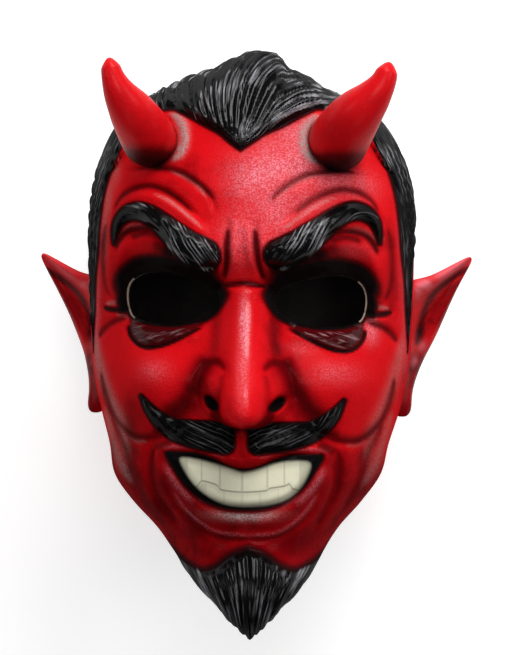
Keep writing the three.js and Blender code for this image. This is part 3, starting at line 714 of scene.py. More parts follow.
def cavity_positions(unit):
    angle, down = ball_angles(unit, CAVITY_SPREAD)
    fine = np.linspace(0, 1, 2000)
    low, high = np.interp((CAVITY_BOTTOM, CAVITY_TOP), by_index(COLUMNS[0], fine), fine)
    t = high + (low - high) * down
    ends = np.sqrt(smooth(0, 0.16, down) * smooth(0, 0.06, 1 - down))
    place = head_point(t, angle, WALL)
    place[:, 0] *= ends
    place[:, 2] = CAVITY_MIDDLE + (place[:, 2] - CAVITY_MIDDLE) * ends
    x, y, z = place.T
    u = np.abs(x)
    ridge, width, rise = ROLLS[0]
    broad = rise * stroke(u, y, ridge, width)
    for *centre, height in MOUNDS[:4]:
        broad += height * mound(u, y, *centre)
    nose = 0.62 * nose_lift(x, y) * smooth(0.15, 0.6, (30 - y) / 73) * np.exp(-(x / 13.5) ** 2)
    behind_teeth = 4 * np.exp(-(u / 40) ** 2 - ((y + 62) / 18) ** 2)
    inner = (INSIDE_RELIEF * broad + nose - behind_teeth) * smooth(0, 0.4, np.cos(angle)) * ends
    place[:, 2] = np.maximum(z + inner, WALL)
    return place


def ball(columns, rows, place, name):
    """A closed surface whose vertices place() carries from a round ball with its poles on z."""
    bm = bmesh.new()
    bmesh.ops.create_uvsphere(bm, u_segments=columns, v_segments=rows, radius=1)
    unit = np.array([v.co for v in bm.verts])
    moved = place(unit)
    for vertex, spot in zip(bm.verts, moved):
        vertex.co = Vector(spot)
    bm.normal_update()
    bmesh.ops.recalc_face_normals(bm, faces=bm.faces)
    return finish_mesh(bm, name)


def finish_mesh(bm, name):
    mesh = bpy.data.meshes.new(name)
    bm.to_mesh(mesh)
    bm.free()
    obj = bpy.data.objects.new(name, mesh)
    bpy.context.scene.collection.objects.link(obj)
    return obj


def at_shares(line, t):
    """Places on a line of points at shares t of their number."""
    places = np.linspace(0, 1, len(line))
    return np.stack([np.interp(t, places, line[:, k]) for k in range(3)], 1)


def tube_axes(path, t):
    """Centre and direction on a smooth path at shares t."""
    line = curve(path, 24)
    ahead = np.gradient(line, axis=0)
    ahead /= np.linalg.norm(ahead, axis=1)[:, None]
    return at_shares(line, t), at_shares(ahead, t)


def horn_path(side_sign):
    slope, level = HORN_LEAN
    across, up = HORN_BASE_SHIFTS[side_sign]
    path = []
    for x, y, z in HORN_PATH:
        fade = float(smooth(126, 96, y))
        sideways = side_sign * x + slope * (y - level) + across * fade
        path.append((sideways, y - side_sign * HORN_DROP + up * fade, z))
    return path


def horn_positions(side_sign):
    def place(unit):
        turn = np.arctan2(unit[:, 1], unit[:, 0])
        rows = np.arccos(np.clip(-unit[:, 2], -1, 1)) / math.pi
        t = 1 - (1 - rows) ** HORN_CROWDING
        centre, ahead = tube_axes(horn_path(side_sign), t)
        side = np.cross(ahead, np.array([-side_sign, 0, 0.0]))
        side /= np.linalg.norm(side, axis=1)[:, None]
        up = np.cross(side, ahead)
        cap = np.minimum(np.minimum(smooth(0, HORN_ROOT, t), np.sqrt(np.maximum(1 - t, 0) / HORN_TIP)), 1)
        lumps = 1 + 0.012 * ripple(turn * 2, t * 14, 7)
        radius = by_index(np.array(HORN_RADII), t) * cap * lumps * (1 + HORN_FATTER * side_sign)
        return centre + side * (np.cos(turn) * radius)[:, None] + up * (np.sin(turn) * radius)[:, None]
    return place


def ear_positions(side_sign):
    """One ear: along runs from the lobe to the tip, reach from the head to the outer edge."""
    def place(unit):
        turn = np.arctan2(unit[:, 1], unit[:, 0])
        along = 0.5 + 0.5 * unit[:, 2]
        inner = at_shares(curve(EAR_INNER, 20), along)
        outer = at_shares(curve(EAR_OUTER, 20), along)
        end = np.sin(math.pi * np.clip(along, 0, 1)) ** 0.36
        reach = 0.5 + 0.5 * np.cos(turn)
        share = 0.5 + (reach - 0.5) * end
        spot = inner + (outer - inner) * share[:, None]
        face = np.sin(turn)
        upper = smooth(0.38, 0.55, along)
        roll = bell(reach, 0.22, 0.18) * upper
        hollow = bell(reach, 0.62, 0.22) * smooth(0.3, 0.5, along) * smooth(1.0, 0.9, along)
        bowl = bell(reach, 0.4, 0.24) * bell(along, 0.5, 0.08)
        knob = bell(reach, 0.45, 0.25) * bell(along, 0.41, 0.05)
        notch = bell(reach, 0.45, 0.3) * bell(along, 0.31, 0.035)
        edge = bell(reach, 0.94, 0.08)
        front = 5 * roll - 4.6 * hollow - 4 * bowl + 2 * knob - 1.6 * notch + 1.6 * edge
        depth = np.where(face > 0, front, -2.5 * np.sin(math.pi * np.minimum(reach / 0.8, 1)) + 1.5 * edge)
        spot[:, 2] += (face * 3.5 + depth) * end
        slope, level = EAR_LEAN
        spot[:, 0] = side_sign * spot[:, 0] + slope * (spot[:, 1] - level)
        spot[:, 0] += EAR_SHIFT[0] * bell(spot[:, 1], EAR_SHIFT[1], EAR_SHIFT[2])
        spot[:, 1] -= side_sign * EAR_DROP
        return spot
    return place


def prism(outline, low, high, name, turn=0.0):
    """An upright block with the given outline in x and y, turned about y."""
    bm = bmesh.new()
    ring = [bm.verts.new((x, y, low)) for x, y in outline]
    face = bm.faces.new(ring)
    grown = bmesh.ops.extrude_face_region(bm, geom=[face])
    top = [g for g in grown["geom"] if isinstance(g, bmesh.types.BMVert)]
    bmesh.ops.translate(bm, vec=(0, 0, high - low), verts=top)
    bmesh.ops.rotate(bm, cent=(0, 0, 0), matrix=Matrix.Rotation(turn, 3, "Y"), verts=bm.verts)
    bmesh.ops.recalc_face_normals(bm, faces=bm.faces)
    return finish_mesh(bm, name)


def eye_prism(side_sign):
    stretch = 1 if side_sign > 0 else 1 / LEFT_STRETCH
    outline = [(side_sign * stretch * x, y - TILT * side_sign * x)
               for x, y in curve(EYE_HOLE, 4, closed=True)]
    return prism(outline, 125, 245, "eye_cutter")


def neck_prism():
    return prism([(-z, y) for z, y in NECK_RIM], -120, 120, "neck_cutter", math.pi / 2)


def rest_block():
    bm = bmesh.new()
    bmesh.ops.create_cube(bm, size=1)
    bmesh.ops.scale(bm, vec=(300, 400, 60), verts=bm.verts)
    bmesh.ops.translate(bm, vec=(0, 0, -30), verts=bm.verts)
    return finish_mesh(bm, "rest_cutter")


SKIN, HORN, EAR, INSIDE, CUT = range(5)
MATERIAL_NAMES = ["painted_skin", "horn_paint", "ear_paint", "latex_inside_in_shade", "cut_latex_edge"]
materials = [bpy.data.materials.new(name) for name in MATERIAL_NAMES]


def give_materials(obj, index):
    for material in materials:
        obj.data.materials.append(material)
    obj.data.polygons.foreach_set("material_index", [index] * len(obj.data.polygons))
    obj.data.polygons.foreach_set("use_smooth", [True] * len(obj.data.polygons))
    return obj


def combine(target, operand, operation):
    modifier = target.modifiers.new(operand.name, "BOOLEAN")
    modifier.object = operand
    modifier.operation = operation
    modifier.solver = "MANIFOLD"


def build_mask():
    mask = give_materials(ball(*SKIN_GRID, skin_positions, "devil_mask"), SKIN)
    added = []
    for side_sign in (-1, 1):
        added.append(give_materials(ball(*HORN_GRID, horn_positions(side_sign), "horn"), HORN))
        added.append(give_materials(ball(*EAR_GRID, ear_positions(side_sign), "ear"), EAR))
    cut = [give_materials(ball(*CAVITY_GRID, cavity_positions, "cavity"), INSIDE)]
    for side_sign in (-1, 1):
        cut.append(give_materials(eye_prism(side_sign), CUT))
    cut.append(give_materials(neck_prism(), CUT))
    cut.append(give_materials(rest_block(), SKIN))
    for operand in added:
        combine(mask, operand, "UNION")
    for operand in cut:
        combine(mask, operand, "DIFFERENCE")
    graph = bpy.context.evaluated_depsgraph_get()
    whole = bpy.data.meshes.new_from_object(mask.evaluated_get(graph))
    mask.modifiers.clear()
    mask.data = whole
    for operand in added + cut:
        bpy.data.objects.remove(operand)
    return mask


def set_value(mesh, name, values):
    attribute = mesh.attributes.new(name, "FLOAT", "POINT")
    attribute.data.foreach_set("value", np.ascontiguousarray(values, np.float32))


def paint(mask):
    """Stores what the materials need to know about each vertex."""
    mesh = mask.data
    count = len(mesh.vertices)
    flat = np.zeros(count * 3, np.float32)
    mesh.vertices.foreach_get("co", flat)
    x, y, z = flat.reshape(-1, 3).T.astype(float)
    u, v = tilted(x, y)
    front = smooth(60, 110, z)
    edge, q, s, kind = all_hair(x, y, z)
    edge = np.where(kind == MOUSTACHE_HAIR, np.minimum(edge, NOSE_FOOT - z), edge)
    hair_names = ("hair_edge", "strand_across", "strand_along", "hair_kind")
    for name, values in zip(hair_names, (edge, q, s, kind)):
        set_value(mesh, name, values)
    on_face = z > FACE_FRONT
    mouth = np.where(on_face, mouth_distance(x, y), FAR_OUT)
    set_value(mesh, "mouth_edge", mouth)
    level = y + TILT * x
    set_value(mesh, "teeth_edge", np.where(on_face, within(x, level, TEETH), FAR_OUT))
    set_value(mesh, "bite_line", bite_height(x, level))
    set_value(mesh, "tooth_number", tooth_number(x, level))
    hole = within(u, v, EYE_HOLE)
    set_value(mesh, "hole_edge", np.where((u > RIM_START) & on_face, hole, FAR_OUT))
    # Black, partly airbrushed and partly painted shade: in the creases and hollows, round the eye holes, in
    # the nostrils, along the mouth, under the eye bags and at the edge of the hair
    black = np.zeros(count)
    for points, width, _, darkness in CREASES:
        black = np.maximum(black, 0.85 * darkness * tapered_stroke(u, v, points, width * 1.3))
    black = strokes(u, v, SHADOWS, black)
    above = smooth(12, 22, v)
    # The painted shade reaches higher above the -X eye, which lies more in shade
    reach = np.maximum(-hole, 0) / (2.3 + np.where(x > 0, 3.7, 4.7) * above)
    black = np.maximum(black, np.exp(-reach ** (2 + above)))
    # The nostrils painted black, a painted shade in their hollows
    black = np.maximum(black, 1.3 * nostril_shape(x, y))
    low_lip = smooth(-66, -80, v)
    lip_edge = np.exp(-(np.minimum(mouth, 0) / (1.0 + 1.2 * low_lip)) ** 2)
    black = np.maximum(black, (0.4 + 0.4 * low_lip) * lip_edge * on_face)
    # A painted shadow fades from the edge of the hair into the red
    soft_edge = choose(HAIR_SHADOW, kind)
    black = np.maximum(black * front, 0.75 * np.exp(-(np.minimum(edge, 0) / soft_edge) ** 2))
    bag = within(u, v, EYE_BAG)
    # A black line under each eye bag, partly painted shade
    black = np.maximum(black, 0.88 * bell(bag, -0.2, 1.1) * smooth(6, 3, v) * front)
    set_value(mesh, "airbrush_and_shade", black)
    set_value(mesh, "bag_edge", np.where(front > 0.5, bag, FAR_OUT))
    wet = 0.9 * stroke(u, v, NOSE_STREAK, 3) + 0.5 * smooth(0.8, 2.2, bag) * front
    set_value(mesh, "wet", np.clip(wet, 0, 1))
    # Painted highlights: the pinkish sheen spots and the light along the lips
    pale = strokes(u, v, LIP_LIGHTS, spots(x, y, PAINTED_SHEEN_SPOTS))
    grey = spots(x, y, DRY_BRUSH_AND_HIGHLIGHT_SPOTS)
    # The grey, partly wear and partly painted highlight, fades towards the back of the head and on the lower
    # +X face
    grey_fade = smooth(105, 135, z) * (1 - 0.45 * smooth(0, 10, x) * smooth(8, -8, v))
    for points, width, strength in DRY_BRUSH_AND_HIGHLIGHT_STROKES:
        grey = np.maximum(grey, strength * tapered_stroke(u, v, points, width) * grey_fade)
    # Painted shade in deeper red: the lower face and the sides of the head darker, with darker spots and
    # strokes where shade falls
    deep = 0.66 * smooth(-34, -72, v) + 0.3 * smooth(66, 80, u) + spots(x, y, SHADE_SPOTS)
    deep = strokes(u, v, DEEP_SHADES, deep)
    deep_ear, ear_black, ear_shine = shade_ears(x, y)
    on_ear = painted_with(mesh, EAR)
    set_value(mesh, "sheen", np.where(on_ear, ear_shine, np.clip(pale, 0, 1) * smooth(95, 125, z)))
    set_value(mesh, "painted_shade_red", np.clip(np.where(on_ear, deep_ear, deep * front), 0, 1))
    set_value(mesh, "ear_black", ear_black)
    on_horn, on_skin = shade_horns(mesh, np.stack([x, y, z], 1))
    set_value(mesh, "horn_shade", on_horn)
    set_value(mesh, "horn_joint_shade", on_skin)
    set_value(mesh, "dry_brush_and_highlight", np.clip(grey, 0, 1) * front)
    # Less coat and fewer painted highlights on the lower hair and the outer ends of the brows
    dull = 0.75 * (smooth(104, 60, y) * (kind == HEAD_HAIR) + smooth(46, 58, u) * (kind == BROW_HAIR))
    set_value(mesh, "hair_shine", choose(HAIR_SHINE, kind) * (1 - dull))
    print("vertices", count, "triangles", sum(len(p.vertices) - 2 for p in mesh.polygons))


def spots(x, y, table):
    """Sum of the soft round spots of a table at each place."""
    total = np.zeros(len(x))
    for *place, strength in table:
        total += strength * mound(x, y, *place)
    return total


def painted_with(mesh, number):
    """Which vertices touch a face of the given material."""
    corners = np.zeros(len(mesh.loops), int)
    mesh.loops.foreach_get("vertex_index", corners)
    numbers = np.zeros(len(mesh.polygons), int)
    mesh.polygons.foreach_get("material_index", numbers)
    sizes = np.zeros(len(mesh.polygons), int)
    mesh.polygons.foreach_get("loop_total", sizes)
    touched = np.zeros(len(mesh.vertices), bool)
    touched[corners[np.repeat(numbers, sizes) == number]] = True
    return touched


def shade_ears(x, y):
    """Painted shade in dark red along the groove of each ear, beyond it and towards the lobe, and black in
    the groove and the bowl; painted highlights where its rolls shine, brighter on the +X ear.
    """
    slope, level = EAR_LEAN
    u = np.abs(x - slope * (y - level) - EAR_SHIFT[0] * bell(y, *EAR_SHIFT[1:]))
    groove, side, _ = follow(u, y, curve(EAR_GROOVE, 4))
    outer = smooth(0, 4, groove * -side) * smooth(-2, 8, y)
    deep = np.maximum(0.9 * bell(groove, 0, 1.9), 0.5 * outer)
    deep = np.maximum(deep, 0.6 * smooth(2, -14, y))
    black = np.maximum(0.25 * bell(groove, 0, 1.2), spots(u, y, EAR_DARKS))
    shine = np.maximum(0.45 * stroke(u, y, EAR_ROLL_LIGHT, 2.4), spots(u, y, EAR_LIGHTS))
    return deep, black, shine * (0.7 + 0.3 * np.sign(x))


def joint_distance(mesh, places, first, second):
    """Distance of each place from the line where two materials meet."""
    joint = places[painted_with(mesh, first) & painted_with(mesh, second)]
    far = np.full(len(places), 999.0)
    picked = np.nonzero((places[:, 2] > 140) & (places[:, 1] > 60))[0]
    for part in np.array_split(picked, 40):
        gaps = np.linalg.norm(places[part][:, None] - joint[None], axis=2)
        far[part] = gaps.min(1)
    return far


def shade_horns(mesh, places):
    """Painted shade: black on the underside of each horn, and on the skin in the joint round it, wider below
    the horn.
    """
    x, y, _ = places.T
    joint = joint_distance(mesh, places, SKIN, HORN)
    low = smooth(97, 80.5, y + np.sign(x)) ** 1.3
    on_horn = np.maximum(low, 0.6 * bell(joint, 0, 1.2))
    on_skin = 0.95 * bell(joint, 0, 1.1 + 1.6 * smooth(94, 84, y))
    return on_horn, on_skin


class Graph:
    """Short names for making and joining the nodes of one tree."""

    def __init__(self, tree):
        self.tree = tree

    def node(self, kind, **settings):
        node = self.tree.nodes.new(kind)
        for key, value in settings.items():
            setattr(node, key, value)
        return node

    def feed(self, socket, value):
        if isinstance(value, bpy.types.NodeSocket):
            self.tree.links.new(value, socket)
        else:
            socket.default_value = value

    def attribute(self, name):
        return self.node("ShaderNodeAttribute", attribute_name=name).outputs["Fac"]

    def math(self, operation, a, b=0.0):
        node = self.node("ShaderNodeMath", operation=operation)
        self.feed(node.inputs[0], a)
        self.feed(node.inputs[1], b)
        return node.outputs[0]

    def times(self, a, b):
        return self.math("MULTIPLY", a, b)

    def plus(self, a, b):
        return self.math("ADD", a, b)

    def ramp(self, value, low, high, to_low=0.0, to_high=1.0):
        node = self.node("ShaderNodeMapRange", interpolation_type="SMOOTHSTEP")
        self.feed(node.inputs["Value"], value)
        for name, number in (("From Min", low), ("From Max", high), ("To Min", to_low), ("To Max", to_high)):
            self.feed(node.inputs[name], number)
        return node.outputs[0]

    def mix(self, share, a, b):
        node = self.node("ShaderNodeMix", data_type="RGBA")
        self.feed(node.inputs["Factor"], share)
        self.feed(node.inputs[6], a)
        self.feed(node.inputs[7], b)
        return node.outputs[2]

    def noise(self, vector, scale, detail=2.0, rough=0.5):
        node = self.node("ShaderNodeTexNoise")
        self.feed(node.inputs["Vector"], vector)
        self.feed(node.inputs["Scale"], scale)
        self.feed(node.inputs["Detail"], detail)
        self.feed(node.inputs["Roughness"], rough)
        return node.outputs["Fac"]


def colour(red, green, blue):
    """A colour given as the 0 to 255 numbers of a screen."""
    def linear(value):
        value = value / 255
        return value / 12.92 if value <= 0.04045 else ((value + 0.055) / 1.055) ** 2.4
    return (linear(red), linear(green), linear(blue), 1.0)


BRIGHT_RED = colour(213, 16, 24)
DEEP_RED = colour(96, 3, 8)
# Pink of the painted sheen and highlights
SHEEN_PINK = colour(232, 128, 140)
# Grey of worn dry brush and of painted highlight
GREY_WEAR_AND_SHEEN = colour(158, 148, 146)
BLACK = colour(12, 11, 12)
HAIR_BLACK = colour(9, 9, 9)
# Grey of the painted highlight streaks in the hair
HAIR_HIGHLIGHT_GREY = colour(172, 172, 178)
TOOTH = colour(232, 229, 202)
TOOTH_SHADE = colour(118, 116, 98)
WINE = colour(40, 9, 12)
# Grey of the painted highlights on the eye bags
BAG_HIGHLIGHT_GREY = colour(190, 150, 156)
CUT_LATEX = colour(205, 180, 165)
# The inside's latex painted dark, a painted shade for the inside of the head
INSIDE_LATEX_IN_SHADE = colour(46, 36, 34)
EDGE_LATEX = colour(120, 92, 84)


def new_group(name, inputs, outputs):
    group = bpy.data.node_groups.new(name, "ShaderNodeTree")
    for label, kind in inputs:
        group.interface.new_socket(name=label, in_out="INPUT", socket_type=kind)
    for label, kind in outputs:
        group.interface.new_socket(name=label, in_out="OUTPUT", socket_type=kind)
    graph = Graph(group)
    start = graph.node("NodeGroupInput")
    end = graph.node("NodeGroupOutput")
    return group, graph, start, end


def make_leather_group():
    """Fine pores and soft lumps of painted latex: a height, and blotches for the colour."""
    group, g, start, end = new_group(
        "painted_latex", [("Pore Size", "NodeSocketFloat")],
        [("Height", "NodeSocketFloat"), ("Blotch", "NodeSocketFloat"), ("Grain", "NodeSocketFloat")])
    place = g.node("ShaderNodeTexCoord").outputs["Object"]
    pores = g.noise(place, start.outputs["Pore Size"], 3.0, 0.6)
    lumps = g.noise(place, 90.0, 2.0, 0.5)
    height = g.plus(pores, g.times(lumps, 1.5))
    g.feed(end.inputs["Height"], height)
    g.feed(end.inputs["Grain"], pores)
    g.feed(end.inputs["Blotch"], g.noise(place, 45.0, 4.0, 0.6))
    return group


def make_hair_group():
    """Strands along the hair: a height and a mask of painted highlight streaks."""
    group, g, start, end = new_group(
        "combed_strands", [("Strand Pitch", "NodeSocketFloat")],
        [("Height", "NodeSocketFloat"), ("Streak", "NodeSocketFloat")])
    across = g.attribute("strand_across")
    vector = g.node("ShaderNodeCombineXYZ")
    g.feed(vector.inputs[0], g.times(across, 0.5))
    g.feed(vector.inputs[1], g.times(g.attribute("strand_along"), 0.03))
    g.feed(vector.inputs[2], g.attribute("hair_kind"))
    wander = g.noise(vector.outputs[0], 0.7, 2.0, 0.5)
    fine = g.noise(vector.outputs[0], 3.2, 3.0, 0.65)
    patch = g.noise(g.node("ShaderNodeTexCoord").outputs["Object"], 55.0, 2.0, 0.5)
    turns = g.plus(g.math("DIVIDE", across, start.outputs["Strand Pitch"]), g.times(wander, 2.6))
    wave = g.math("ABSOLUTE", g.math("SINE", g.times(turns, math.pi)))
    height = g.plus(g.times(wave, g.ramp(wander, 0.35, 0.6, 0.5, 1.0)), g.times(fine, 0.7))
    g.feed(end.inputs["Height"], height)
    lit = g.times(g.ramp(wave, 0.72, 0.97), g.ramp(patch, 0.44, 0.6))
    g.feed(end.inputs["Streak"], g.times(lit, g.ramp(fine, 0.4, 0.6, 0.2, 1.0)))
    return group


def use_group(g, group, **values):
    node = g.node("ShaderNodeGroup")
    node.node_tree = group
    for name, value in values.items():
        g.feed(node.inputs[name.replace("_", " ")], value)
    return node


# A strong coat in a thin share shines where it faces a light and stays clear at the sides
COAT_IOR = 2.0


def start_material(material):
    material.use_nodes = True
    tree = material.node_tree
    tree.nodes.clear()
    g = Graph(tree)
    shader = g.node("ShaderNodeBsdfPrincipled")
    out = g.node("ShaderNodeOutputMaterial")
    tree.links.new(shader.outputs[0], out.inputs["Surface"])
    return g, shader


def bump(g, height, strength, distance):
    node = g.node("ShaderNodeBump")
    g.feed(node.inputs["Height"], height)
    g.feed(node.inputs["Strength"], strength)
    g.feed(node.inputs["Distance"], distance)
    return node.outputs["Normal"]


def set_gloss(g, shader, specular, coat, coat_roughness):
    """The shine of the paint itself and of its thin clear coat."""
    shader.inputs["Specular IOR Level"].default_value = specular
    g.feed(shader.inputs["Coat Weight"], coat)
    shader.inputs["Coat IOR"].default_value = COAT_IOR
    shader.inputs["Coat Roughness"].default_value = coat_roughness

# The painted highlight streaks on the wrinkles of the eye bags: how often along and across, in turns a metre,
# and how they drop outward
BAG_ALONG = 75.0
BAG_ACROSS = 460.0
BAG_DROP = 0.3


def painted_bag_highlights(g):
    """Painted highlight streaks across the bags under the eyes, brighter under the +X eye, on the lit side.
    """
    place = g.node("ShaderNodeSeparateXYZ")
    g.feed(place.inputs[0], g.node("ShaderNodeTexCoord").outputs["Object"])
    out = g.math("ABSOLUTE", place.outputs[0])
    down = g.plus(place.outputs[1], g.times(out, BAG_DROP))
    vector = g.node("ShaderNodeCombineXYZ")
    g.feed(vector.inputs[0], g.times(out, BAG_ALONG))
    g.feed(vector.inputs[1], g.times(down, BAG_ACROSS))
    streak = g.ramp(g.noise(vector.outputs[0], 1.0, 2.0, 0.5), 0.54, 0.68)
    return g.times(streak, g.ramp(place.outputs[0], -0.02, 0.02, 0.28, 0.55))


def red_paint(g, leather):
    """Red paint with its blotches, painted shade in deep red, painted sheen, grey that is partly worn and
    partly painted highlight, eye bags with painted highlight streaks, and black that is partly airbrushed and
    partly painted shade.
    """
    blotch = leather.outputs["Blotch"]
    # Painted shade in deep red, with random blotches of deeper paint
    deep = g.plus(g.attribute("painted_shade_red"), g.ramp(blotch, 0.45, 0.75, 0.0, 0.3))
    red = g.mix(g.ramp(deep, 0.0, 1.0), BRIGHT_RED, DEEP_RED)
    grain = g.ramp(leather.outputs["Grain"], 0.42, 0.6, 0.1, 1.2)
    # Painted highlight: the pinkish sheen, speckled by the grain
    sheen = g.times(g.attribute("sheen"), g.ramp(blotch, 0.3, 0.7, 0.6, 1.1))
    sheen = g.times(sheen, g.plus(grain, 0.35))
    red = g.mix(g.math("MINIMUM", sheen, 1.0), red, SHEEN_PINK)
    # Grey, partly worn dry brush and partly painted highlight
    grey = g.times(g.attribute("dry_brush_and_highlight"), g.plus(g.times(grain, 0.6), 0.35))
    red = g.mix(grey, red, GREY_WEAR_AND_SHEEN)
    bag = g.ramp(g.attribute("bag_edge"), -0.8, 1.2)
    red = g.mix(g.times(bag, 0.95), red, WINE)
    # Painted highlight streaks inside the eye bags
    inside_bag = g.ramp(g.attribute("bag_edge"), 0.4, 1.8)
    red = g.mix(g.times(painted_bag_highlights(g), inside_bag), red, BAG_HIGHLIGHT_GREY)
    # Deep red and then black where the black paint and the painted shade lie
    dark = g.plus(g.attribute("airbrush_and_shade"), g.times(g.math("SUBTRACT", blotch, 0.5), 0.3))
    red = g.mix(g.ramp(dark, 0.0, 0.55), red, DEEP_RED)
    return g.mix(g.times(g.ramp(dark, 0.25, 0.85), 0.98), red, BLACK)


def tooth_paint(g, leather):
    """Cream teeth with fine dark lines between them, darker towards the gums."""
    inset = g.attribute("teeth_edge")
    number = g.attribute("tooth_number")
    off = g.math("ABSOLUTE", g.math("SUBTRACT", g.math("FRACT", g.plus(number, 0.5)), 0.5))
    bite_line = g.attribute("bite_line")
    gap = g.times(g.ramp(off, 0.02, 0.08, 0.3, 0.0), g.ramp(bite_line, -0.5, 0.5, 0.45, 1.0))
    bite = g.ramp(g.math("ABSOLUTE", bite_line), 0.15, 0.6, 0.65, 0.0)
    line = g.math("MAXIMUM", gap, bite)
    tooth = g.mix(g.times(g.ramp(inset, 0.0, 4.5, 0.75, 0.0), 0.7), TOOTH, TOOTH_SHADE)
    tooth = g.mix(line, tooth, TOOTH_SHADE)
    stain = g.ramp(leather.outputs["Blotch"], 0.5, 0.8, 0.0, 0.25)
    tooth = g.mix(stain, tooth, TOOTH_SHADE)
    # Black round the teeth, where the mouth sinks in: a painted shade
    return g.mix(g.ramp(inset, -0.7, 1.3, 1.0, 0.0), tooth, BLACK)


def paint_skin(material, leather_group, hair_group):
    g, shader = start_material(material)
    leather = use_group(g, leather_group, Pore_Size=1100.0)
    hair = use_group(g, hair_group, Strand_Pitch=2.4)
    skin = red_paint(g, leather)
    # Painted shade in the joint round each horn
    skin = g.mix(g.attribute("horn_joint_shade"), skin, BLACK)
    skin = g.mix(g.ramp(g.attribute("hole_edge"), -1.0, -0.5, 0.0, 0.6), skin, CUT_LATEX)
    mouth = g.attribute("mouth_edge")
    skin = g.mix(g.ramp(mouth, -0.9, 0.9), skin, tooth_paint(g, leather))
    edge = g.attribute("hair_edge")
    shine = g.attribute("hair_shine")
    streak = hair.outputs["Streak"]
    ragged = g.plus(edge, g.times(g.math("SUBTRACT", streak, 0.5), 0.8))
    in_hair = g.ramp(ragged, -0.5, 0.6)
    # Painted highlights: grey streaks on the black hair
    lit = g.times(g.times(streak, shine), 0.85)
    g.feed(shader.inputs["Base Color"], g.mix(in_hair, skin, g.mix(lit, HAIR_BLACK, HAIR_HIGHLIGHT_GREY)))
    rough = g.ramp(leather.outputs["Blotch"], 0.3, 0.7, 0.4, 0.5)
    g.feed(shader.inputs["Roughness"], g.math("SUBTRACT", rough, g.times(in_hair, 0.12)))
    glossy = g.plus(g.times(g.times(in_hair, shine), 0.18), 0.012)
    set_gloss(g, shader, 0.0, g.plus(g.times(g.attribute("wet"), 0.2), glossy), 0.19)
    tooth_flat = g.ramp(mouth, -0.4, 0.4, 1.0, 0.25)
    leather_height = g.times(leather.outputs["Height"], g.ramp(edge, -0.5, 0.5, 0.6, 0.0))
    leather_height = g.times(leather_height, tooth_flat)
    hair_height = g.times(hair.outputs["Height"], in_hair)
    total = g.plus(leather_height, hair_height)
    g.feed(shader.inputs["Normal"], bump(g, total, 0.9, 0.0009))


def paint_horn(material, leather_group):
    g, shader = start_material(material)
    leather = use_group(g, leather_group, Pore_Size=700.0)
    blotch = leather.outputs["Blotch"]
    red = g.mix(g.ramp(blotch, 0.4, 0.8, 0.0, 0.25), BRIGHT_RED, DEEP_RED)
    # Painted shade: the horn goes deep red and black towards its underside
    shade = g.attribute("horn_shade")
    dark = g.plus(shade, g.times(g.math("SUBTRACT", blotch, 0.5), 0.2))
    red = g.mix(g.ramp(dark, 0.1, 0.6), red, DEEP_RED)
    g.feed(shader.inputs["Base Color"], g.mix(g.ramp(dark, 0.4, 1.0), red, BLACK))
    g.feed(shader.inputs["Roughness"], g.ramp(blotch, 0.3, 0.7, 0.34, 0.44))
    set_gloss(g, shader, 0.05, 0.04, 0.25)
    g.feed(shader.inputs["Normal"], bump(g, leather.outputs["Height"], 0.3, 0.0008))


def paint_ear(material, leather_group):
    g, shader = start_material(material)
    leather = use_group(g, leather_group, Pore_Size=800.0)
    blotch = leather.outputs["Blotch"]
    # Painted shade in deep red and black, and painted highlight in pink
    deep = g.plus(g.attribute("painted_shade_red"), g.ramp(blotch, 0.35, 0.8, 0.0, 0.4))
    red = g.mix(g.ramp(deep, 0.0, 1.0), BRIGHT_RED, DEEP_RED)
    red = g.mix(g.attribute("sheen"), red, SHEEN_PINK)
    g.feed(shader.inputs["Base Color"], g.mix(g.attribute("ear_black"), red, BLACK))
    g.feed(shader.inputs["Roughness"], g.ramp(blotch, 0.3, 0.7, 0.32, 0.42))
    set_gloss(g, shader, 0.02, 0.03, 0.2)
    g.feed(shader.inputs["Normal"], bump(g, leather.outputs["Height"], 0.3, 0.0008))


def paint_bare(material, leather_group, tone, rough):
    g, shader = start_material(material)
    leather = use_group(g, leather_group, Pore_Size=500.0)
    blotch = leather.outputs["Blotch"]
    darker = tuple(c * 0.6 for c in tone[:3]) + (1.0,)
    g.feed(shader.inputs["Base Color"], g.mix(g.ramp(blotch, 0.35, 0.7), tone, darker))
    g.feed(shader.inputs["Roughness"], g.ramp(blotch, 0.3, 0.7, rough, rough + 0.12))
    g.feed(shader.inputs["Normal"], bump(g, leather.outputs["Height"], 0.4, 0.001))


mask = build_mask()
paint(mask)
mask.data.transform(Matrix.Translation(CENTRING * MM) @ Matrix.Scale(MM, 4))
leather_group = make_leather_group()
hair_group = make_hair_group()
paint_skin(materials[SKIN], leather_group, hair_group)
paint_horn(materials[HORN], leather_group)
paint_ear(materials[EAR], leather_group)
paint_bare(materials[INSIDE], leather_group, INSIDE_LATEX_IN_SHADE, 0.6)
paint_bare(materials[CUT], leather_group, EDGE_LATEX, 0.5)

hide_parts("mask")
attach(mask, "root")


# Lifts the pale floor to the white of a lit studio table
FLOOR_GLOW = 0.72
# Lamps: name, place, size, power
LIGHTS = [
    ("crown", (0.1, 1.6, 0.55), 0.5, 7),
    ("top", (0.4, 1.2, 1.0), 0.8, 15),
    ("front", (0.1, 0.3, 1.95), 0.8, 9),
    ("left", (-1.25, 0.35, 1.1), 0.6, 2),
    ("right", (1.2, 0.45, 1.1), 0.6, 4),
    ("low", (-0.1, -1.3, 1.3), 0.8, 1),
]
LIGHT_TARGET = Vector((0, 0, 0.15))
WORLD_LIGHT = 0.08


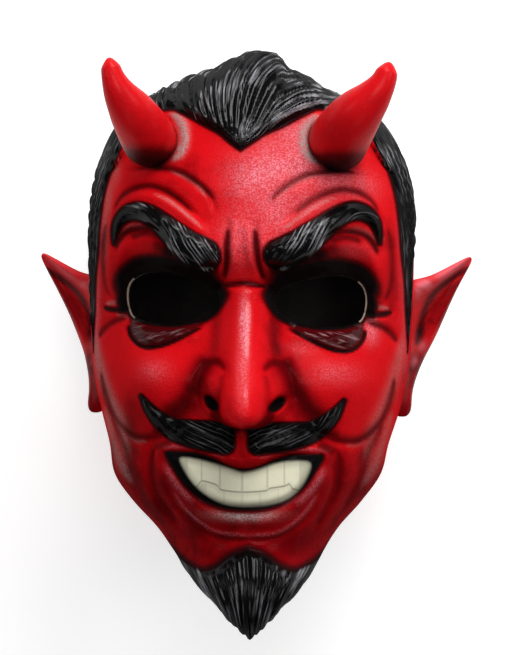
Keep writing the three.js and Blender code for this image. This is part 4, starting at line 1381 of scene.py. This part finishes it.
def add_floor():
    bm = bmesh.new()
    bmesh.ops.create_grid(bm, x_segments=2, y_segments=2, size=4)
    floor = finish_mesh(bm, "floor")
    material = bpy.data.materials.new("pale_floor")
    g, shader = start_material(material)
    place = g.node("ShaderNodeTexCoord").outputs["Object"]
    tone = g.mix(g.noise(place, 3.0, 3.0), colour(250, 250, 250), colour(244, 244, 244))
    g.feed(shader.inputs["Base Color"], g.mix(0.35, tone, BLACK))
    g.feed(shader.inputs["Emission Color"], tone)
    shader.inputs["Emission Strength"].default_value = FLOOR_GLOW
    shader.inputs["Roughness"].default_value = 0.9
    floor.data.materials.append(material)


def add_light(name, place, size, power):
    data = bpy.data.lights.new(name, "AREA")
    data.shape = "DISK"
    data.size = size
    data.energy = power
    light = bpy.data.objects.new(name, data)
    light.location = place
    light.rotation_euler = (LIGHT_TARGET - Vector(place)).to_track_quat("-Z", "Y").to_euler()
    bpy.context.scene.collection.objects.link(light)


def add_world(strength):
    world = bpy.data.worlds.new("studio")
    world.use_nodes = True
    back = world.node_tree.nodes["Background"]
    back.inputs["Color"].default_value = (1, 1, 1, 1)
    back.inputs["Strength"].default_value = strength
    bpy.context.scene.world = world


# The camera looks almost straight down on the face
CAMERA_DISTANCE = 1.5
CAMERA_TURN = math.radians(1.2)
CAMERA_TARGET = (CENTRING + Vector((4.5, 4.7, 185))) * MM
CAMERA_LENS = 221.6


def add_camera():
    data = bpy.data.cameras.new("camera")
    data.sensor_fit = "HORIZONTAL"
    data.sensor_width = 36
    data.lens = CAMERA_LENS
    data.clip_end = 20
    camera = bpy.data.objects.new("camera", data)
    away = Vector((math.sin(CAMERA_TURN), 0, math.cos(CAMERA_TURN)))
    camera.location = CAMERA_TARGET + away * CAMERA_DISTANCE
    camera.rotation_euler = (0, CAMERA_TURN, 0)
    bpy.context.scene.collection.objects.link(camera)
    bpy.context.scene.camera = camera


add_floor()
for lamp in LIGHTS:
    add_light(*lamp)
add_world(WORLD_LIGHT)
add_camera()
bpy.context.scene.view_settings.view_transform = "Standard"
